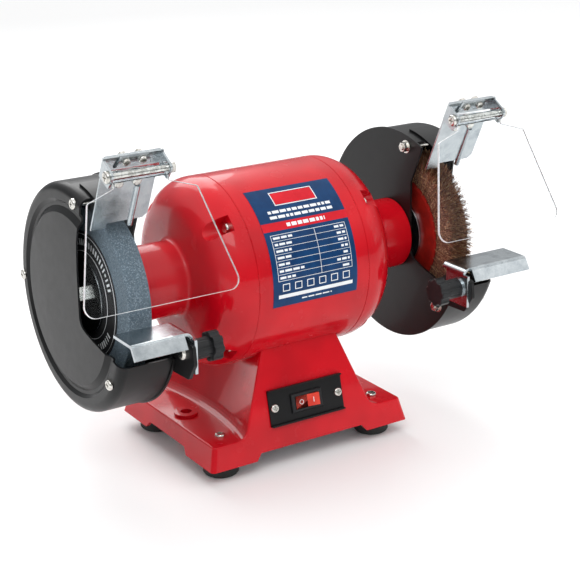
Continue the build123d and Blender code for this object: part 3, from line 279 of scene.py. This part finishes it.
def bump(tree, shader, height, depth, strength=1.0):
    """Raises the surface's shading by a height of this many millimetres."""
    made = add(tree, "Bump", {"Height": height, "Distance": depth * MM, "Strength": strength})
    tree.links.new(made.outputs["Normal"], shader.inputs["Normal"])


def link(tree, output, shader, name):
    """Links a value to one of the shader's inputs."""
    tree.links.new(output, shader.inputs[name])


# %% [markdown]
# ## Gloss red enamel on the motor
# The motor's shell and end bells are sprayed with a thick gloss enamel. It looks wet: a deep red under a
# hard clear reflection, with a faint orange-peel ripple about two millimetres across that only shows in
# the highlights. A coat layer over the base colour gives that double look.

# %% Red enamel
def red_enamel(name, ripple, depth, hex_light="#D20A1C", hex_deep="#B80617"):
    """Sprayed gloss enamel whose ripple has this size and depth in millimetres."""
    material, tree, shader, place = start(name, Coat_Weight=0.4, Coat_Roughness=0.04, Specular_IOR_Level=0.12)
    tone = noise(tree, place, 60, 2).outputs["Fac"]
    link(tree, ramp(tree, tone, (0.35, linear(hex_deep)), (0.65, linear(hex_light))), shader, "Base Color")
    haze = noise(tree, place, 18, 3).outputs["Fac"]
    link(tree, spread(tree, haze, 0.2, 0.32), shader, "Roughness")
    bump(tree, shader, noise(tree, place, ripple, 2).outputs["Fac"], depth)
    return material


MOTOR_ENAMEL = red_enamel("gloss_enamel_on_pressed_steel", 2.5, 0.012)


# %% [markdown]
# ## Gloss red enamel on the casting
# The base is a sand casting under the same paint, so its skin is lumpier: broad waves from the mould and
# a fine grain from the sand, both softened by the paint that fills them.

# %% Enamel on the casting
CASTING_ENAMEL = red_enamel("gloss_enamel_on_sand_casting", 3.5, 0.05)


# %% [markdown]
# ## Satin black enamel on the guards
# The guards are pressed steel with a stoved satin black. It is never pure black: it picks up grey where
# it faces the light. A little texture from the spray breaks the reflections up.

# %% Black enamel
def black_enamel():
    """Stoved satin black."""
    settings = {"Specular_IOR_Level": 0.22, "Coat_Weight": 0.06}
    material, tree, shader, place = start("satin_black_stoving_enamel", **settings)
    tone = noise(tree, place, 35, 3).outputs["Fac"]
    link(tree, ramp(tree, tone, (0.3, linear("#0E0E0F")), (0.7, linear("#151516"))), shader, "Base Color")
    link(tree, spread(tree, noise(tree, place, 9, 4).outputs["Fac"], 0.3, 0.42), shader, "Roughness")
    bump(tree, shader, noise(tree, place, 0.9, 2).outputs["Fac"], 0.01)
    return material


GUARD_ENAMEL = black_enamel()


# %% [markdown]
# ## Bright zinc plate
# Rests, deflectors, brackets and flanges are folded sheet with bright zinc plating: a cool light grey
# metal, a little cloudy, with soft patches left by the plating bath and faint rolling lines.

# %% Zinc plate
def zinc_plate():
    """Bright zinc on cold-rolled sheet."""
    material, tree, shader, place = start("bright_zinc_plate_on_sheet", Metallic=1.0)
    cloud = noise(tree, place, 14, 4, 0.6).outputs["Fac"]
    colour = ramp(tree, cloud, (0.3, linear("#9EA5A9")), (0.55, linear("#BAC0C3")), (0.75, linear("#ACB3B6")))
    link(tree, colour, shader, "Base Color")
    link(tree, spread(tree, noise(tree, place, 7, 3).outputs["Fac"], 0.16, 0.3), shader, "Roughness")
    stretched = add(tree, "Mapping", {"Vector": place, "Scale": (0.08, 1.0, 1.0)}).outputs["Vector"]
    bump(tree, shader, noise(tree, stretched, 0.6, 1).outputs["Fac"], 0.002)
    return material


ZINC = zinc_plate()


# %% [markdown]
# ## Plated screws, nuts and bolts
# Small fasteners are barrel-plated, so they are brighter and rounder-looking than the sheet, with tiny
# knocks from the barrel.

# %% Plated fasteners
def plated_steel(name, light, dark, low, high):
    """Bright plating with small knocks."""
    material, tree, shader, place = start(name, Metallic=1.0)
    tone = noise(tree, place, 2.5, 3).outputs["Fac"]
    link(tree, ramp(tree, tone, (0.35, linear(dark)), (0.6, linear(light))), shader, "Base Color")
    link(tree, spread(tree, tone, low, high), shader, "Roughness")
    bump(tree, shader, noise(tree, place, 0.8, 2).outputs["Fac"], 0.01)
    return material


SCREW_PLATING = plated_steel("nickel_plated_screws", "#E2E0DA", "#B7B4AD", 0.14, 0.3)
GROUND_STEEL = plated_steel("ground_bearing_steel", "#C9CBCD", "#A9ABAE", 0.12, 0.22)
CORE_STEEL = plated_steel("varnished_electrical_steel", "#5B5A58", "#454442", 0.4, 0.55)
CAST_ALUMINIUM = plated_steel("die_cast_aluminium", "#CFD0D1", "#B2B3B5", 0.3, 0.45)


# %% [markdown]
# ## Blue-grey abrasive
# A vitrified wheel is crushed grit held by glass: dull, dusty, and full of sparkling grains and dark
# pores. The real grains are about a third of a millimetre, too fine to see from here, so they are drawn
# at nearly twice that.

# %% Abrasive
def blend_colours(tree, amount, first, second):
    """Mixes two colours by an amount."""
    return add(tree, "MixRGB", {"Fac": amount, "Color1": first, "Color2": second}).outputs["Color"]


def abrasive():
    """Vitrified aluminium oxide, with its grains drawn 0.7 mm across."""
    material, tree, shader, place = start("vitrified_aluminium_oxide", IOR=1.6)
    grains = add(tree, "TexVoronoi", {"Vector": place, "Scale": 1 / (0.7 * MM), "Randomness": 1.0})
    chance = add(tree, "SeparateColor", {"Color": grains.outputs["Color"]}).outputs["Red"]
    dark_tones = (0.0, linear("#35434D")), (0.2, linear("#4A5A66"))
    light_tones = (0.75, linear("#5B6D7A")), (0.97, linear("#93A1AA"))
    dust = spread(tree, noise(tree, place, 22, 4).outputs["Fac"], 0.0, 0.4)
    colour = blend_colours(tree, dust, ramp(tree, chance, *dark_tones, *light_tones), linear("#6F7F8A"))
    link(tree, colour, shader, "Base Color")
    link(tree, spread(tree, grains.outputs["Distance"], 0.6, 0.95), shader, "Roughness")
    bump(tree, shader, grains.outputs["Distance"], 0.12, 0.8)
    return material


ABRASIVE = abrasive()


# %% [markdown]
# ## Brass-coated wire
# Each wire is steel with a thin brass coat. Deep between the wires they look rust brown, because little
# light gets in, and out at the tips the brass glints. Both are painted into the colour: each wire carries
# its own number, stored on its vertices when the wires are made, which picks a tone at random from painted
# shade in rust brown to a painted glint in pale brass, so that no two neighbours have quite the same tone.

# %% Wire
def wire_metal():
    """Brass-coated steel wire whose random tones are painted shade and painted glints."""
    material, tree, shader, _ = start("brass_wire_painted_shade_and_glints", Metallic=0.6)
    chance = add(tree, "Attribute", attribute_name="wire").outputs["Fac"]
    # The dark tones are painted shade and the pale ones are painted glints, given to each wire at random.
    painted_shade_tones = (0.0, linear("#6B4636")), (0.4, linear("#96664E"))
    painted_glint_tones = (0.75, linear("#BE8F6C")), (1.0, linear("#F2D9AE"))
    link(tree, ramp(tree, chance, *painted_shade_tones, *painted_glint_tones), shader, "Base Color")
    link(tree, spread(tree, chance, 0.45, 0.25), shader, "Roughness")
    return material


WIRE = wire_metal()


# %% [markdown]
# ## Plastics, rubber, paper and film
# Moulded plastic copies its mould: a fine even grain, soft reflections, and no metal in its shine.
# Rubber is duller and dustier. Paper is matt with short fibres. Film is smooth and slightly glossy.

# %% Plastics and rubber
def plastic(name, light, dark, low, high, grain, depth, **constants):
    """A moulded material from its two tones, its roughness range and its grain in millimetres."""
    material, tree, shader, place = start(name, **constants)
    tone = noise(tree, place, 12, 3).outputs["Fac"]
    link(tree, ramp(tree, tone, (0.35, linear(dark)), (0.65, linear(light))), shader, "Base Color")
    link(tree, spread(tree, noise(tree, place, 4, 3).outputs["Fac"], low, high), shader, "Roughness")
    bump(tree, shader, noise(tree, place, grain, 2).outputs["Fac"], depth)
    return material


SOFT_SHINE = {"Specular_IOR_Level": 0.35}
INK_SHINE = {"Specular_IOR_Level": 0.2}
BLACK_PLASTIC = plastic("glass_filled_nylon", "#1D1E20", "#131416", 0.35, 0.5, 0.7, 0.02, **SOFT_SHINE)
RED_PLASTIC = plastic("red_polycarbonate", "#E2432F", "#CF3220", 0.18, 0.28, 1.5, 0.004, Coat_Weight=0.3)
GREY_PLASTIC = plastic("grey_abs", "#9B9DA0", "#8C8E91", 0.4, 0.5, 0.8, 0.01)
WHITE_PLASTIC = plastic("white_nylon", "#EFEFEA", "#E2E2DC", 0.35, 0.45, 0.8, 0.01)
RUBBER = plastic("moulded_rubber", "#2C302F", "#1F2322", 0.6, 0.8, 0.9, 0.03)
LABEL_PAPER = plastic("black_blotting_paper", "#1D1D20", "#121214", 0.7, 0.85, 0.4, 0.02)
THIN_COAT = {"Coat_Weight": 0.3}
PLATE_PAINT = plastic("red_paint_on_pressed_plate", "#A3231A", "#7E1712", 0.25, 0.4, 2.0, 0.01, **THIN_COAT)
COPPER = plated_steel("varnished_copper_wire", "#B5693A", "#8C4A25", 0.3, 0.45)
LABEL_BLUE = plastic("printed_polyester_film", "#0A3D6C", "#07335E", 0.25, 0.35, 3.0, 0.003, **INK_SHINE)
LABEL_RED = plastic("red_print", "#D8182A", "#C81223", 0.28, 0.36, 3.0, 0.002, **INK_SHINE)
LABEL_WHITE = plastic("white_print", "#F2F4F5", "#E6E9EC", 0.3, 0.4, 3.0, 0.002)


# %% [markdown]
# ## Clear polycarbonate
# The eye shields are cut from clear sheet. Light goes straight through the faces, and travels inside the
# sheet to come out at the edges, which is why the edges look white. So the faces get a transmissive
# shader with a very slight tint, and the cut edges a frosted one in near-white. That white is partly the real
# frosting of a sawn edge and partly painted light, standing for the light that the sheet leads out to them.

# %% Clear plastic
def clear_plastic(name, roughness, tint):
    """Transparent sheet: light passes through it."""
    material, tree, shader, place = start(name, Transmission_Weight=1.0, IOR=1.2)
    tone = noise(tree, place, 40, 2).outputs["Fac"]
    link(tree, ramp(tree, tone, (0.3, linear(tint)), (0.7, linear("#FFFFFF"))), shader, "Base Color")
    haze = noise(tree, place, 15, 3).outputs["Fac"]
    link(tree, spread(tree, haze, roughness, roughness + 0.03), shader, "Roughness")
    return material


CLEAR_SHEET = clear_plastic("clear_polycarbonate_sheet", 0.0, "#F7FBFD")
LETS_LIGHT_IN = {"Transmission_Weight": 0.3}
# The cut edges are painted near-white: partly the real frosting of a sawn edge, partly painted light for the
# light the sheet leads out to them.
CUT_EDGE = plastic("sawn_edge_frost_and_painted_glow", "#FFFFFF", "#EDF0F4", 0.2, 0.35, 1.0, 0.01, **LETS_LIGHT_IN)


# %% [markdown]
# ## Light, floor and camera
# A plain pale floor and three large soft lamps, as for a product picture: a high one in front and to the
# left for the long highlights on the enamel, a broad one on the right to open the shadows, and one
# behind for the rims. The camera stands to the left and a little above, and looks along the front.

# %% Floor and backdrop
def plain_floor():
    """A pale floor that runs out of sight."""
    bpy.ops.mesh.primitive_plane_add(size=12, location=(0, 0, cad_box[0][2] - 0.0003))
    floor = settle(bpy.context.object, "floor")
    material, tree, shader, place = start("pale_floor", Roughness=0.6)
    tone = noise(tree, place, 900, 2).outputs["Fac"]
    link(tree, ramp(tree, tone, (0.3, linear("#FAFAFA")), (0.7, linear("#FDFDFD"))), shader, "Base Color")
    floor.data.materials.append(material)


plain_floor()


# %% Lights
def soft_lamp(name, place, aim, size, power, stretch=1.0):
    """A rectangular soft lamp that points at a spot."""
    data = bpy.data.lights.new(name, "AREA")
    data.shape = "RECTANGLE"
    data.size = size
    data.size_y = size * stretch
    data.energy = power
    lamp = bpy.data.objects.new(name, data)
    bpy.context.scene.collection.objects.link(lamp)
    lamp.location = place
    lamp.rotation_euler = (Vector(aim) - Vector(place)).to_track_quat("-Z", "Y").to_euler()


MIDDLE = Vector((0, SHAFT.y, SHAFT.z))
soft_lamp("key", (-0.7, -1.0, 1.5), MIDDLE, 1.1, 8, 0.5)
soft_lamp("fill", (1.6, -0.9, 0.8), MIDDLE, 1.0, 2.5)
soft_lamp("rim", (0.3, 1.4, 1.3), MIDDLE, 1.2, 14)


def studio_world():
    """White overhead, falling off to grey towards the horizon, so that shiny pieces show their shape."""
    world = bpy.data.worlds.new("studio")
    world.use_nodes = True
    tree = world.node_tree
    place = add(tree, "TexCoord").outputs["Generated"]
    height = add(tree, "SeparateXYZ", {"Vector": place}).outputs["Z"]
    stops = (0.0, linear("#77797B")), (0.25, linear("#A8AAAC")), (0.6, linear("#FFFFFF"))
    sky = ramp(tree, height, *stops)
    background = tree.nodes["Background"]
    tree.links.new(sky, background.inputs["Color"])
    background.inputs["Strength"].default_value = 1.15
    bpy.context.scene.world = world


studio_world()
bpy.context.scene.view_settings.view_transform = "Standard"


# %% Camera
def place_camera():
    """The camera to the left and above, with its frame shifted a little towards the machine's middle."""
    data = bpy.data.cameras.new("camera")
    data.sensor_width = 36
    data.lens = 93.33
    data.shift_x = 0.0464
    data.shift_y = -0.0564
    camera = bpy.data.objects.new("camera", data)
    bpy.context.scene.collection.objects.link(camera)
    azimuth, elevation, roll = radians(-31.9), radians(17.8), radians(-0.9)
    turn = Matrix.Rotation(azimuth, 4, "Z") @ Matrix.Rotation(pi / 2 - elevation, 4, "X")
    place = Matrix.Translation((-0.6637, -1.0699, 0.5541))
    camera.matrix_world = place @ turn @ Matrix.Rotation(roll, 4, "Z")
    bpy.context.scene.camera = camera


place_camera()


# %% [markdown]
# ## Finishes for the pieces that come from the design
# Most pieces already have the right shape, so they only need their finish. One table gives each of the
# record's material slots the material made above.

# %% Slots to materials
FINISH = {
    "red_enamel": MOTOR_ENAMEL,
    "black_enamel": GUARD_ENAMEL,
    "zinc_plate": ZINC,
    "steel_screws": SCREW_PLATING,
    "bearing_steel": GROUND_STEEL,
    "core_steel": CORE_STEEL,
    "copper_wire": COPPER,
    "cast_aluminium": CAST_ALUMINIUM,
    "abrasive": ABRASIVE,
    "label_paper": LABEL_PAPER,
    "brass_wire": WIRE,
    "wheel_plate_paint": PLATE_PAINT,
    "rubber": RUBBER,
    "black_plastic": BLACK_PLASTIC,
    "grey_plastic": GREY_PLASTIC,
    "white_plastic": WHITE_PLASTIC,
    "red_plastic": RED_PLASTIC,
    "label_film": LABEL_BLUE,
    "clear_plastic": CLEAR_SHEET,
}
for name, node in NODES.items():
    node.data.materials.clear()
    node.data.materials.append(CASTING_ENAMEL if name == "base_casting" else FINISH[SLOT_OF[name]])
    for polygon in node.data.polygons:
        polygon.material_index = 0
print("finishes given to", len(NODES), "nodes")

# %% [markdown]
# ## Copies with softened edges
# Folded sheet, castings and mouldings never have knife edges: a press, a mould or a file leaves each
# edge with a small round, and that round is what catches the light. So the pieces near the camera are
# copied, merged and bevelled, each by the width that its real edge has, and the copy stands in for the
# sharp one.

# %% Softened copies
SOFTENED = {
    "tool_rest": 0.35,
    "spark_deflector": 0.25,
    "shield_bracket": 0.3,
    "clamp_plate": 0.25,
    "rest_knob": 0.5,
    "guard_plate": 0.4,
    "guard_cover": 0.3,
}
SINGLES = {
    "rest_brackets": 0.4,
    "deflector_angles": 0.3,
    "switch_plate": 0.3,
    "switch_housing": 0.3,
    "wheel_flanges": 0.4,
    "arbor_nuts": 0.4,
    "guard_cover_nuts": 0.3,
    "shield_pivot_left": 0.2,
    "shield_pivot_right": 0.2,
}


def soft_copy(node, width):
    """A merged and bevelled copy that stands in for a node."""
    piece = copy_node(node, node + "_soft")
    soften(piece, width * MM)
    slot = SLOT_OF[node]
    dress(piece, BODY_OF[node], slot, FINISH[slot], node)
    return piece


for stem, width in SOFTENED.items():
    for side in ("left", "right"):
        soft_copy(f"{stem}_{side}", width)
for node, width in SINGLES.items():
    soft_copy(node, width)
print("softened", 2 * len(SOFTENED) + len(SINGLES), "pieces")


# %% [markdown]
# ## The rating label's print
# The label is a sheet of blue film with white and red ink. Ink is a few hundredths of a millimetre
# thick, so each mark is a thin curved patch: an edge along the shaft's direction, spun about the shaft
# by the height of the mark, and thickened. The words and figures of a real label are left out, and short
# bars stand where lines of small print would be.

# %% Label print
LABEL_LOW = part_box("rating_label")[0]
LABEL_RADIUS = SHAFT.y - LABEL_LOW.y
LABEL_TOP, LABEL_BOTTOM = 63.4, -10.0
INK = 0.04 * MM


def curved_mark(x0, x1, top, bottom, lift):
    """A patch of ink from x0 to x1 in millimetres; top and bottom are shares of the label's height."""
    high = LABEL_TOP + (LABEL_BOTTOM - LABEL_TOP) * top
    low = LABEL_TOP + (LABEL_BOTTOM - LABEL_TOP) * bottom
    bpy.ops.mesh.primitive_plane_add(size=2, location=(0, 0, 0))
    mark = bpy.context.object
    edit(mark, "VERT")
    pick(mark, "verts", lambda item, place: place.y > 0)
    bpy.ops.mesh.delete(type="VERT")
    bpy.ops.mesh.select_all(action="SELECT")
    bpy.ops.transform.resize(value=((x1 - x0) / 2 * MM, 1, 1), center_override=(0, 0, 0))
    radius = LABEL_RADIUS + lift * INK
    place = SHAFT + Vector(((x0 + x1) / 2 * MM, -radius * cos(radians(low)), radius * sin(radians(low))))
    bpy.ops.transform.translate(value=place + Vector((0, 1, 0)))
    steps = max(1, round((high - low) / 3))
    bpy.ops.mesh.spin(steps=steps, dupli=False, angle=radians(high - low), center=SHAFT, axis=(1, 0, 0))
    done()
    return mark


def printed(name, marks, material):
    """Joins marks into one piece, thickens it and lays it on the motor."""
    select_only(*marks)
    bpy.ops.object.join()
    piece = settle(bpy.context.object, name)
    apply_modifier(piece, "SOLIDIFY", thickness=INK / 2, offset=1.0)
    edit(piece)
    bpy.ops.mesh.select_all(action="SELECT")
    bpy.ops.mesh.normals_make_consistent(inside=False)
    done()
    dress(piece, "base", "label_film", material)
    print(name, len(marks), "marks")


def words(x0, x1, top, bottom, seed):
    """A line of print as bars with gaps between them."""
    choose = random.Random(seed)
    marks, x = [], x0
    while x < x1 - 1:
        end = min(x1, x + choose.uniform(2.5, 7.0))
        marks.append(curved_mark(x, end, top, bottom, 2))
        x = end + 1.2
    return marks


def frame_lines(x0, x1, top, bottom, width):
    """The four sides of a printed rectangle; width is in millimetres."""
    share = width * MM / (LABEL_RADIUS * radians(LABEL_TOP - LABEL_BOTTOM))
    return [
        curved_mark(x0, x1, top, top + share, 2),
        curved_mark(x0, x1, bottom - share, bottom, 2),
        curved_mark(x0, x0 + width, top, bottom, 2),
        curved_mark(x1 - width, x1, top, bottom, 2),
    ]


white = frame_lines(-21, 21, 0.05, 0.185, 0.8)
white += words(-31, 31, 0.225, 0.25, 1) + words(-31, 32, 0.272, 0.297, 2)
white += words(-18, 20, 0.345, 0.375, 3)
TABLE_TOP, TABLE_BOTTOM, ROWS = 0.425, 0.79, 7
white += frame_lines(-37, 37, TABLE_TOP, TABLE_BOTTOM, 0.4)
white.append(curved_mark(5.8, 6.2, TABLE_TOP, TABLE_BOTTOM, 2))
row_height = (TABLE_BOTTOM - TABLE_TOP) / ROWS
for row in range(ROWS):
    top = TABLE_TOP + row * row_height
    if row:
        white.append(curved_mark(-37, 37, top - 0.0015, top + 0.0015, 2))
    text_top, text_bottom = top + 0.33 * row_height, top + 0.68 * row_height
    length = random.Random(row + 10).uniform(9, 26)
    white += words(-35, -35 + length, text_top, text_bottom, row + 20)
    white += words(35 - length / 2, 35, text_top, text_bottom, row + 40)
for spot in range(6):
    left = -33 + spot * 12
    white += frame_lines(left, left + 7, 0.815, 0.875, 0.7)
white.append(curved_mark(-37, 37, 0.9, 0.93, 2))
white += words(-14, 16, 0.955, 0.966, 5)
printed("label_white_print", white, LABEL_WHITE)
red = [curved_mark(-20, 20, 0.06, 0.175, 1), curved_mark(-42, 42, 0.325, 0.395, 1)]
printed("label_red_print", red, LABEL_RED)


# %% [markdown]
# ## The wire wheel
# A crimped wire wheel is thousands of brass-coated steel wires clamped between two plates. They leave the
# clamp close together and spread towards the rim, where the tips stand apart and fray. One small sector
# is made wire by wire, each a thin three-sided prism, and is then copied all the way round. Behind the
# loose wires stands the dense mass of the brush itself, a ring with a grainy bump, whose dark brown is
# painted shade between the packed wires and whose pale specks are painted glints.

# %% Wire mass
WIRE_LOW, WIRE_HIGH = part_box("wire_ring")
WIRE_MIDDLE = (WIRE_LOW.x + WIRE_HIGH.x) / 2
ROOT_RADIUS, TIP_RADIUS = 49 * MM, WHEEL_RADIUS


def wire_mass_material():
    """Packed wires seen end on: dark brown painted shade with painted brass glints."""
    material, tree, shader, place = start("packed_wire_painted_shade_and_glints", Metallic=0.2)
    speck = add(tree, "TexVoronoi", {"Vector": place, "Scale": 1 / (0.9 * MM), "Randomness": 1.0})
    chance = add(tree, "SeparateColor", {"Color": speck.outputs["Color"]}).outputs["Red"]
    # The dark browns are painted shade between the packed wires, and the pale specks are painted glints.
    painted_shade_tones = (0.0, linear("#4A2E24")), (0.45, linear("#74503F"))
    painted_glint_tones = (0.8, linear("#8C6650")), (0.97, linear("#D9B48A"))
    link(tree, ramp(tree, chance, *painted_shade_tones, *painted_glint_tones), shader, "Base Color")
    link(tree, spread(tree, speck.outputs["Distance"], 0.5, 0.85), shader, "Roughness")
    bump(tree, shader, speck.outputs["Distance"], 0.3, 0.9)
    return material


WIRE_MASS = wire_mass_material()
mass = copy_node("wire_ring", "wire_mass")
edit(mass, "VERT")
bpy.ops.mesh.select_all(action="SELECT")
bpy.ops.transform.resize(value=(0.9, 0.955, 0.955), center_override=(WIRE_MIDDLE, SHAFT.y, SHAFT.z))
done()
bpy.ops.object.shade_smooth_by_angle(angle=radians(40))
dress(mass, "rotor", "brass_wire", WIRE_MASS, "wire_ring")


# %% Loose wires
SECTORS, WIRES_PER_SECTOR = 36, 260
WIRE_RADIUS = 0.24 * MM
ROOT_SPREAD, TIP_SPREAD = 9.5 * MM, 12.3 * MM


def wire_sector():
    """A sector of loose wires at the top of the wheel."""
    choose = random.Random(11)
    arc = 2 * pi / SECTORS
    bpy.ops.mesh.primitive_cylinder_add(vertices=3, radius=0.1 * MM, depth=0.1 * MM)
    sector = bpy.context.object
    edit(sector, "VERT")
    bpy.ops.mesh.select_all(action="SELECT")
    bpy.ops.mesh.delete(type="VERT")
    for _ in range(WIRES_PER_SECTOR):
        side = choose.uniform(-1, 1)
        angle = choose.uniform(-arc / 2, arc / 2)
        tip = TIP_RADIUS + choose.triangular(-1.5, 4.0, 0.3) * MM
        root = choose.uniform(ROOT_RADIUS, 0.9 * TIP_RADIUS)
        low = Vector((WIRE_MIDDLE + side * ROOT_SPREAD, SHAFT.y - root * sin(angle), SHAFT.z + root * cos(angle)))
        lean = angle + choose.gauss(0, 0.02)
        reach = WIRE_MIDDLE + side * TIP_SPREAD + choose.gauss(0, 0.9) * MM
        high = Vector((reach, SHAFT.y - tip * sin(lean), SHAFT.z + tip * cos(lean)))
        along = high - low
        turn = along.to_track_quat("Z", "Y").to_euler()
        bpy.ops.mesh.primitive_cylinder_add(
            vertices=3, radius=WIRE_RADIUS, depth=along.length, location=(low + high) / 2, rotation=turn
        )
    done()
    return settle(sector, "loose_wires")


sector = wire_sector()
copies = [sector]
for turn in range(1, SECTORS):
    select_only(sector)
    bpy.ops.object.duplicate()
    copy = bpy.context.object
    copy.matrix_world = (
        Matrix.Translation(SHAFT) @ Matrix.Rotation(2 * pi * turn / SECTORS, 4, "X") @ Matrix.Translation(-SHAFT)
    )
    copies.append(copy)
select_only(*copies)
bpy.ops.object.join()
wires = settle(bpy.context.object, "loose_wires")
VERTS_PER_WIRE = 6
tone = wires.data.attributes.new("wire", "FLOAT", "POINT")
choose = random.Random(5)
tones = [choose.random() for _ in range(len(wires.data.vertices) // VERTS_PER_WIRE)]
tone.data.foreach_set("value", [tones[i // VERTS_PER_WIRE] for i in range(len(wires.data.vertices))])
dress(wires, "rotor", "brass_wire", WIRE)
print("wires", len(tones), "triangles", sum(len(p.vertices) - 2 for p in wires.data.polygons))


# %% [markdown]
# ## The eye shields
# Each shield is sawn from clear sheet and bonded to a clear barrel that turns on the pivot bolt. Its faces
# are polished, and its sawn and chamfered edges are faintly frosted and lead light out of the sheet, so they
# show as pale lines. The copy of each shield gets two finishes: the faces that look across the sheet are
# clear, and the narrow ones are frosted and painted near-white, partly for the light that they carry.

# %% Eye shields
BARREL_HEIGHT = 11 * MM
SHEET_CHAMFER = 0.4 * MM


def eye_shield(side):
    """A shield with clear faces and frosted edges painted near-white, partly for the light the sheet carries to
    them.
    """
    node = f"eye_shield_{side}"
    piece = copy_node(node, node + "_sheet")
    low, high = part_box(node)
    barrel_z = high.z - BARREL_HEIGHT
    widest = max(piece.data.polygons, key=lambda polygon: polygon.area)
    across = widest.normal.copy()
    soften(piece, SHEET_CHAMFER, segments=1)
    dress(piece, f"{side}_shield", "clear_plastic", CLEAR_SHEET, node)
    piece.data.materials.append(CUT_EDGE)
    for polygon in piece.data.polygons:
        narrow = abs(polygon.normal.dot(across)) < 0.93 and polygon.center.z < barrel_z
        polygon.material_index = 1 if narrow else 0
    print(node, sum(polygon.material_index for polygon in piece.data.polygons), "frosted faces")


for side in ("left", "right"):
    eye_shield(side)


# %% [markdown]
# ## Marks on the rocker
# The switch's red rocker has a moulded white ring for off and a bar for on. They stand a tenth of a
# millimetre out of the plastic.

# %% Rocker marks
FACE_TILT = atan(0.236)
FACE_OUT = Vector((0, -cos(FACE_TILT), sin(FACE_TILT)))
FLAT_HEIGHT, RAISED_TILT = 1.7 * MM, radians(16)
RING_AT, BAR_AT = -6 * MM, 5.5 * MM


def rocker_marks():
    """The ring on the rocker's level half and the bar on its raised half."""
    middle = centre_of("switch_plate")
    turn = Matrix.Rotation(pi / 2 - FACE_TILT, 4, "X")
    bpy.ops.mesh.primitive_torus_add(
        major_radius=1.9 * MM,
        minor_radius=0.26 * MM,
        major_segments=32,
        minor_segments=6,
        location=middle + Vector((RING_AT, 0, 0)) + FACE_OUT * FLAT_HEIGHT,
        rotation=turn.to_euler(),
    )
    ring = bpy.context.object
    rise = FLAT_HEIGHT + BAR_AT * tan(RAISED_TILT)
    bpy.ops.mesh.primitive_cube_add(
        size=1,
        location=middle + Vector((BAR_AT, 0, 0)) + FACE_OUT * rise,
        rotation=(turn @ Matrix.Rotation(-RAISED_TILT, 4, "Y")).to_euler(),
    )
    bar = bpy.context.object
    bar.scale = (0.6 * MM, 4.2 * MM, 0.3 * MM)
    select_only(ring, bar)
    bpy.ops.object.join()
    piece = settle(bpy.context.object, "rocker_marks")
    dress(piece, "rocker", "red_plastic", LABEL_WHITE)


rocker_marks()


# %% [markdown]
# ## Marks on the wheel's paper label
# The black paper on a grinding wheel carries print round its rim. Here a ring of plain bars stands for it.

# %% Wheel label marks
BAR_CIRCLE = 44.5 * MM


def wheel_marks():
    """Rings and a row of bars on the outer paper label."""
    face_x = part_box("wheel_blotters")[0].x
    marks = []
    for radius in (51.5, 37.0):
        bpy.ops.mesh.primitive_torus_add(
            major_radius=radius * MM,
            minor_radius=0.25 * MM,
            major_segments=96,
            minor_segments=4,
            location=(face_x, SHAFT.y, SHAFT.z),
            rotation=(0, pi / 2, 0),
        )
        marks.append(bpy.context.object)
    choose = random.Random(3)
    for start_angle, count in ((20, 17), (140, 15), (262, 13)):
        for step in range(count):
            angle = radians(start_angle + step * 5.4)
            tall = 5.5 * MM if choose.random() > 0.15 else 2.5 * MM
            centre = (face_x, SHAFT.y - BAR_CIRCLE * cos(angle), SHAFT.z + BAR_CIRCLE * sin(angle))
            bpy.ops.mesh.primitive_cube_add(size=1, location=centre, rotation=(-angle, 0, 0))
            bar = bpy.context.object
            bar.scale = (0.1 * MM, tall, choose.uniform(1.4, 2.6) * MM)
            marks.append(bar)
    select_only(*marks)
    bpy.ops.object.join()
    piece = settle(bpy.context.object, "wheel_label_print")
    dress(piece, "rotor", "label_paper", LABEL_WHITE)
    print("wheel label marks", len(marks))


wheel_marks()
